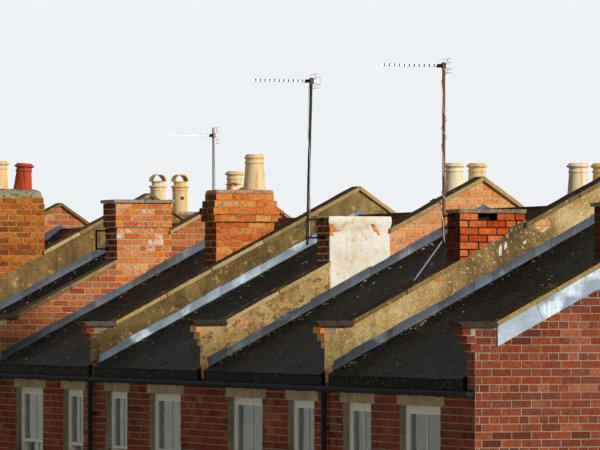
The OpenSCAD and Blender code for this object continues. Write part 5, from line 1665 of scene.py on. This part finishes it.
def addFurniture(sign, side, x, w, face):
    low = joinery["ground"]
    bm = startMesh()
    spinCurve(bm, knobProfile, 20)
    out = Vector((0, sign, 0)).to_track_quat("Z", "X").to_matrix().to_4x4()
    knob, _ = wallBar(sign, x + side * (w / 2 - 0.055), face, low + 1.02, None)
    bmesh.ops.transform(bm, matrix=Matrix.Translation(knob) @ out, verts=bm.verts[:])
    gather(furniture, bm, 0.5)
    rail = low + 2 * joinery["stile"] + joinery["panelLow"]
    if sign < 0:
        addBars(furniture, [wallBar(sign, x, face - 0.003, rail, (0.25, 0.006, 0.05)),
                            wallBar(sign, x, face - 0.007, rail, (0.2, 0.006, 0.032))], 0.002)
    for up in (0.25, 0.97, 1.7):
        foot, _ = wallBar(sign, x - side * (w / 2 - 0.001), face - 0.002, low + up - 0.05, None)
        sweepTube(furniture, [foot, foot + upward * 0.1], 0.006, 8)


big, leaves, furniture = startMesh(), startMesh(), startMesh()
middle = joinery["reveal"] + joinery["depth"] / 2
low, leafTop = joinery["ground"], joinery["ground"] + joinery["leafHigh"]
for sign in runs:
    for bay, (x, z, w, h) in zip(bays, doorsOn(sign)):
        bars = [wallBar(sign, side, middle, (low + h) / 2, (f, joinery["depth"], h - low))
                for side in (x + f / 2, x + w - f / 2)]
        rails = [h - f / 2] + ([leafTop + f / 2] if sign < 0 else [])
        bars += [wallBar(sign, x + w / 2, middle, up, (w - 2 * f, joinery["depth"] - 0.001, f))
                 for up in rails]
        addBars(big, bars, joinery["edge"])
        layLeaf(sign, x + f, w - 2 * f, middle)
        addFurniture(sign, hand(bay), x + w / 2, w - 2 * f, middle - joinery["leafThick"] / 2)
finishPiece("rebated_door_frames", big, paint["cream"], "painted_joinery", ["door_frames"], 35)
finishPiece("panelled_doors", leaves, paint["green"], "painted_door", ["doors"], 35)
finishPiece("door_furniture", furniture, paint["brass"], "painted_door", ["doors"], 35)
print("joinery made")

# stone lintels and sills; a sill stands out and falls to its front edge
dressing = {"deep": 0.23, "sillOut": 0.05, "fall": 0.018, "edge": 0.006, "rough": 0.0035}
big = startMesh()
for sign in runs:
    for x, z, w, h in windows + doorsOn(sign):
        parts = [(openings["lintel"], z + h, 0.0, 0.0)]
        if z > 0:
            parts.append((openings["sill"], z - openings["sill"], dressing["sillOut"],
                          dressing["fall"]))
        for tall, low, out, fall in parts:
            bm = startMesh()
            centre, size = wallBar(sign, x + w / 2, (dressing["deep"] - out) / 2, low + tall / 2,
                                   (w + 2 * openings["bearing"], dressing["deep"] + out, tall))
            for vert in addBlock(bm, centre, size):
                if fall and vert.co.z > centre.z and (vert.co.y - centre.y) * sign > 0:
                    vert.co.z -= fall
            subdivide(bm, 2)
            gatherStone(big, bm, rng, dressing["edge"], dressing["rough"], 9, x, 1)
finishPiece("lintels_and_sills", big, stoneFinish["dressing"], "sandstone", ["stone_dressings"], 35)

# doorsteps, worn hollow in the middle of the tread
doorstep = {"out": 0.3, "wear": 0.01, "wearHalf": 0.36, "edge": 0.01, "rough": 0.002}
big = startMesh()
for sign in runs:
    for x, z, w, h in doorsOn(sign):
        bm = startMesh()
        deep, high = dressing["deep"] + doorstep["out"], joinery["ground"]
        centre, size = wallBar(sign, x + w / 2, dressing["deep"] - deep / 2, high / 2,
                               (w, deep, high))
        addBlock(bm, centre, size)
        subdivide(bm, 5)
        for vert in bm.verts:
            away = sign * (vert.co.y - centre.y) / (deep / 2)
            if vert.co.z > centre.z + 0.06 and away > 0:
                across = (vert.co.x - centre.x) / doorstep["wearHalf"]
                vert.co.z -= doorstep["wear"] * away * max(0, 1 - across ** 2)
        gatherStone(big, bm, rng, doorstep["edge"], doorstep["rough"], 9, x)
finishPiece("worn_doorsteps", big, stoneFinish["step"], "sandstone", ["doorsteps"], 35)


# window glass: clear, faintly green, uneven enough to bend what it mirrors
def glassMaterial():
    material, tree, shader = startMaterial("oldWindowGlass", 0.03)
    shader.inputs["Base Color"].default_value = linear("E4EDE9")
    shader.inputs["Transmission Weight"].default_value = 0.9
    place = addNode(tree, "TexCoord").outputs["Object"]
    waves = addNode(tree, "TexNoise", {"Vector": place, "Scale": 3.5, "Detail": 2})
    bump = addNode(tree, "Bump", {"Height": waves.outputs["Fac"], "Strength": 0.25,
                                  "Distance": 0.01})
    tree.links.new(bump.outputs[0], shader.inputs["Normal"])
    return material


# floorboards: planks of sawn pine about 120 mm wide
def boardMaterial():
    material, tree, shader = startMaterial("pineBoards", 0.7)
    place = addNode(tree, "TexCoord").outputs["Object"]
    planks = addNode(tree, "TexBrick", {"Vector": place, "Color1": linear("A07A50"),
                                        "Color2": linear("8A6642"), "Mortar": linear("3C2C1E"),
                                        "Scale": 1.0, "Mortar Size": 0.003, "Brick Width": 2.4,
                                        "Row Height": 0.12})
    stretched = addNode(tree, "Mapping", {"Vector": place, "Scale": (0.6, 9, 9)})
    grain = addNode(tree, "TexNoise", {"Vector": stretched.outputs[0], "Scale": 6, "Detail": 6})
    shade = addNode(tree, "ValToRGB", {"Fac": grain.outputs["Fac"]},
                    stops=[(0.3, "B8A898"), (0.65, "FFFFFF")])
    mixed = addNode(tree, "Mix", {0: 1.0, 6: planks.outputs["Color"], 7: shade.outputs[0]},
                    multiply)
    tree.links.new(mixed.outputs[2], shader.inputs["Base Color"])
    return material


screed = mineralMaterial("limeScreed", ("7E7A72", "928D84", "A39E94"), "6A665F", 0.05, 0.14)
dress("window_glass", glassMaterial(), "window_glass")
dress("first_floors", boardMaterial(), "floor_boards")
dress("ground_floors", screed, "floor_screed")
print("stone dressings, glass and floors done")

# moss and lichen: small cushions on the slates, more of them beside the copings
moss = {"count": {1: 620, -1: 240}, "size": (0.008, 0.026), "beside": 0.35, "clear": 0.04}
mossFinish = mineralMaterial("mossCushions", ("3E3C26", "5A5634", "7E7850", "A8A27C"), "C8C4A4",
                             0.02, 0.16, grain=160, useTone=1.0)
rng = random.Random(77)
big = startMesh()
for sign, run in runs.items():
    _, down, out = slopeFrame(sign)
    bm, clear = startMesh(), moss["clear"]
    for _ in range(moss["count"][sign]):
        bay = rng.randint(1, row["bays"])
        y = sign * run * rng.random() ** 0.7
        x = rng.uniform(farX(bay) + 0.12, nearX(bay + 1) - 0.12)
        if rng.random() < moss["beside"]:
            x = nearX(bay + 1) - rng.uniform(0.1, 0.3)
        if meetsStack(x - clear, x + clear, y - clear, y + clear):
            continue
        r = rng.uniform(*moss["size"])
        turn = Matrix([squareAxes[0] * r * rng.uniform(0.8, 1.5), down * r * rng.uniform(0.8, 1.5),
                       out * r * 0.55]).transposed().to_4x4()
        place = at(x, y, slateZ(y)) + out * (slate["tail"] + slate["thick"])
        bmesh.ops.create_icosphere(bm, subdivisions=1, radius=1,
                                   matrix=Matrix.Translation(place) @ turn)
    for face in bm.faces:
        paintFaces(bm, [face], tone=0.5 + 0.5 * noise.noise(face.calc_center_median() * 2))
    mendNormals(bm)
    gather(big, bm)
finishPiece("moss_cushions", big, mossFinish, "slate", (), 180)
print("moss placed")

# camera: on the photo's standpoint, about 60 m off at the height of the eaves
view = {"place": (-67.252, 25.409, 5.8645), "yaw": -20.358, "rise": 0.9184, "lens": 312.28}
cameraData = bpy.data.cameras.new("photoCamera")
cameraData.sensor_width = 36
cameraData.lens = view["lens"]
cameraData.clip_end = 2000
camera = bpy.data.objects.new("photoCamera", cameraData)
bpy.context.scene.collection.objects.link(camera)
yaw, rise = math.radians(view["yaw"]), math.radians(view["rise"])
looking = Vector((math.cos(yaw) * math.cos(rise), math.sin(yaw) * math.cos(rise), math.sin(rise)))
camera.location = view["place"]
camera.rotation_euler = looking.to_track_quat("-Z", "Y").to_euler()
bpy.context.scene.camera = camera

# light: a low wide sun from the left, and a dim room that the camera sees as pale
light = {"from": (-0.8, -0.42, 0.34), "strength": 3.15, "width": 12, "sky": 0.25}
sunData = bpy.data.lights.new("keyLight", "SUN")
sunData.energy = light["strength"]
sunData.angle = math.radians(light["width"])
sunData.color = (1.0, 0.96, 0.9)
sun = bpy.data.objects.new("keyLight", sunData)
sun.rotation_euler = Vector(light["from"]).to_track_quat("Z", "Y").to_euler()
bpy.context.scene.collection.objects.link(sun)

world = bpy.data.worlds.new("softRoom")
world.use_nodes = True
bpy.context.scene.world = world
tree = world.node_tree
tree.nodes.clear()
path = addNode(tree, "LightPath")
seen = path.outputs["Is Camera Ray"]
for ray in ("Is Glossy Ray", "Is Transmission Ray"):
    seen = addNode(tree, "Math", {0: seen, 1: path.outputs[ray]}, {"operation": "MAXIMUM"})
    seen = seen.outputs[0]
room = addNode(tree, "Background", {"Color": linear("E9EEF4"), "Strength": light["sky"]})
backdrop = addNode(tree, "Background", {"Color": linear("EEF2F5"), "Strength": 1.0})
mixed = addNode(tree, "MixShader", {0: seen, 1: room.outputs[0], 2: backdrop.outputs[0]})
addNode(tree, "OutputWorld", {"Surface": mixed.outputs[0]})

bm = bmesh.new()
bmesh.ops.create_grid(bm, x_segments=8, y_segments=8, size=900)
mesh = bpy.data.meshes.new("studioFloor")
bm.to_mesh(mesh)
bm.free()
paleFloor, tree, shader = startMaterial("paleFloor", 0.9)
shader.inputs["Base Color"].default_value = linear("DADAD6")
mesh.materials.append(paleFloor)
floor = bpy.data.objects.new("studioFloor", mesh)
bpy.context.scene.collection.objects.link(floor)

bpy.context.scene.view_settings.view_transform = "Standard"
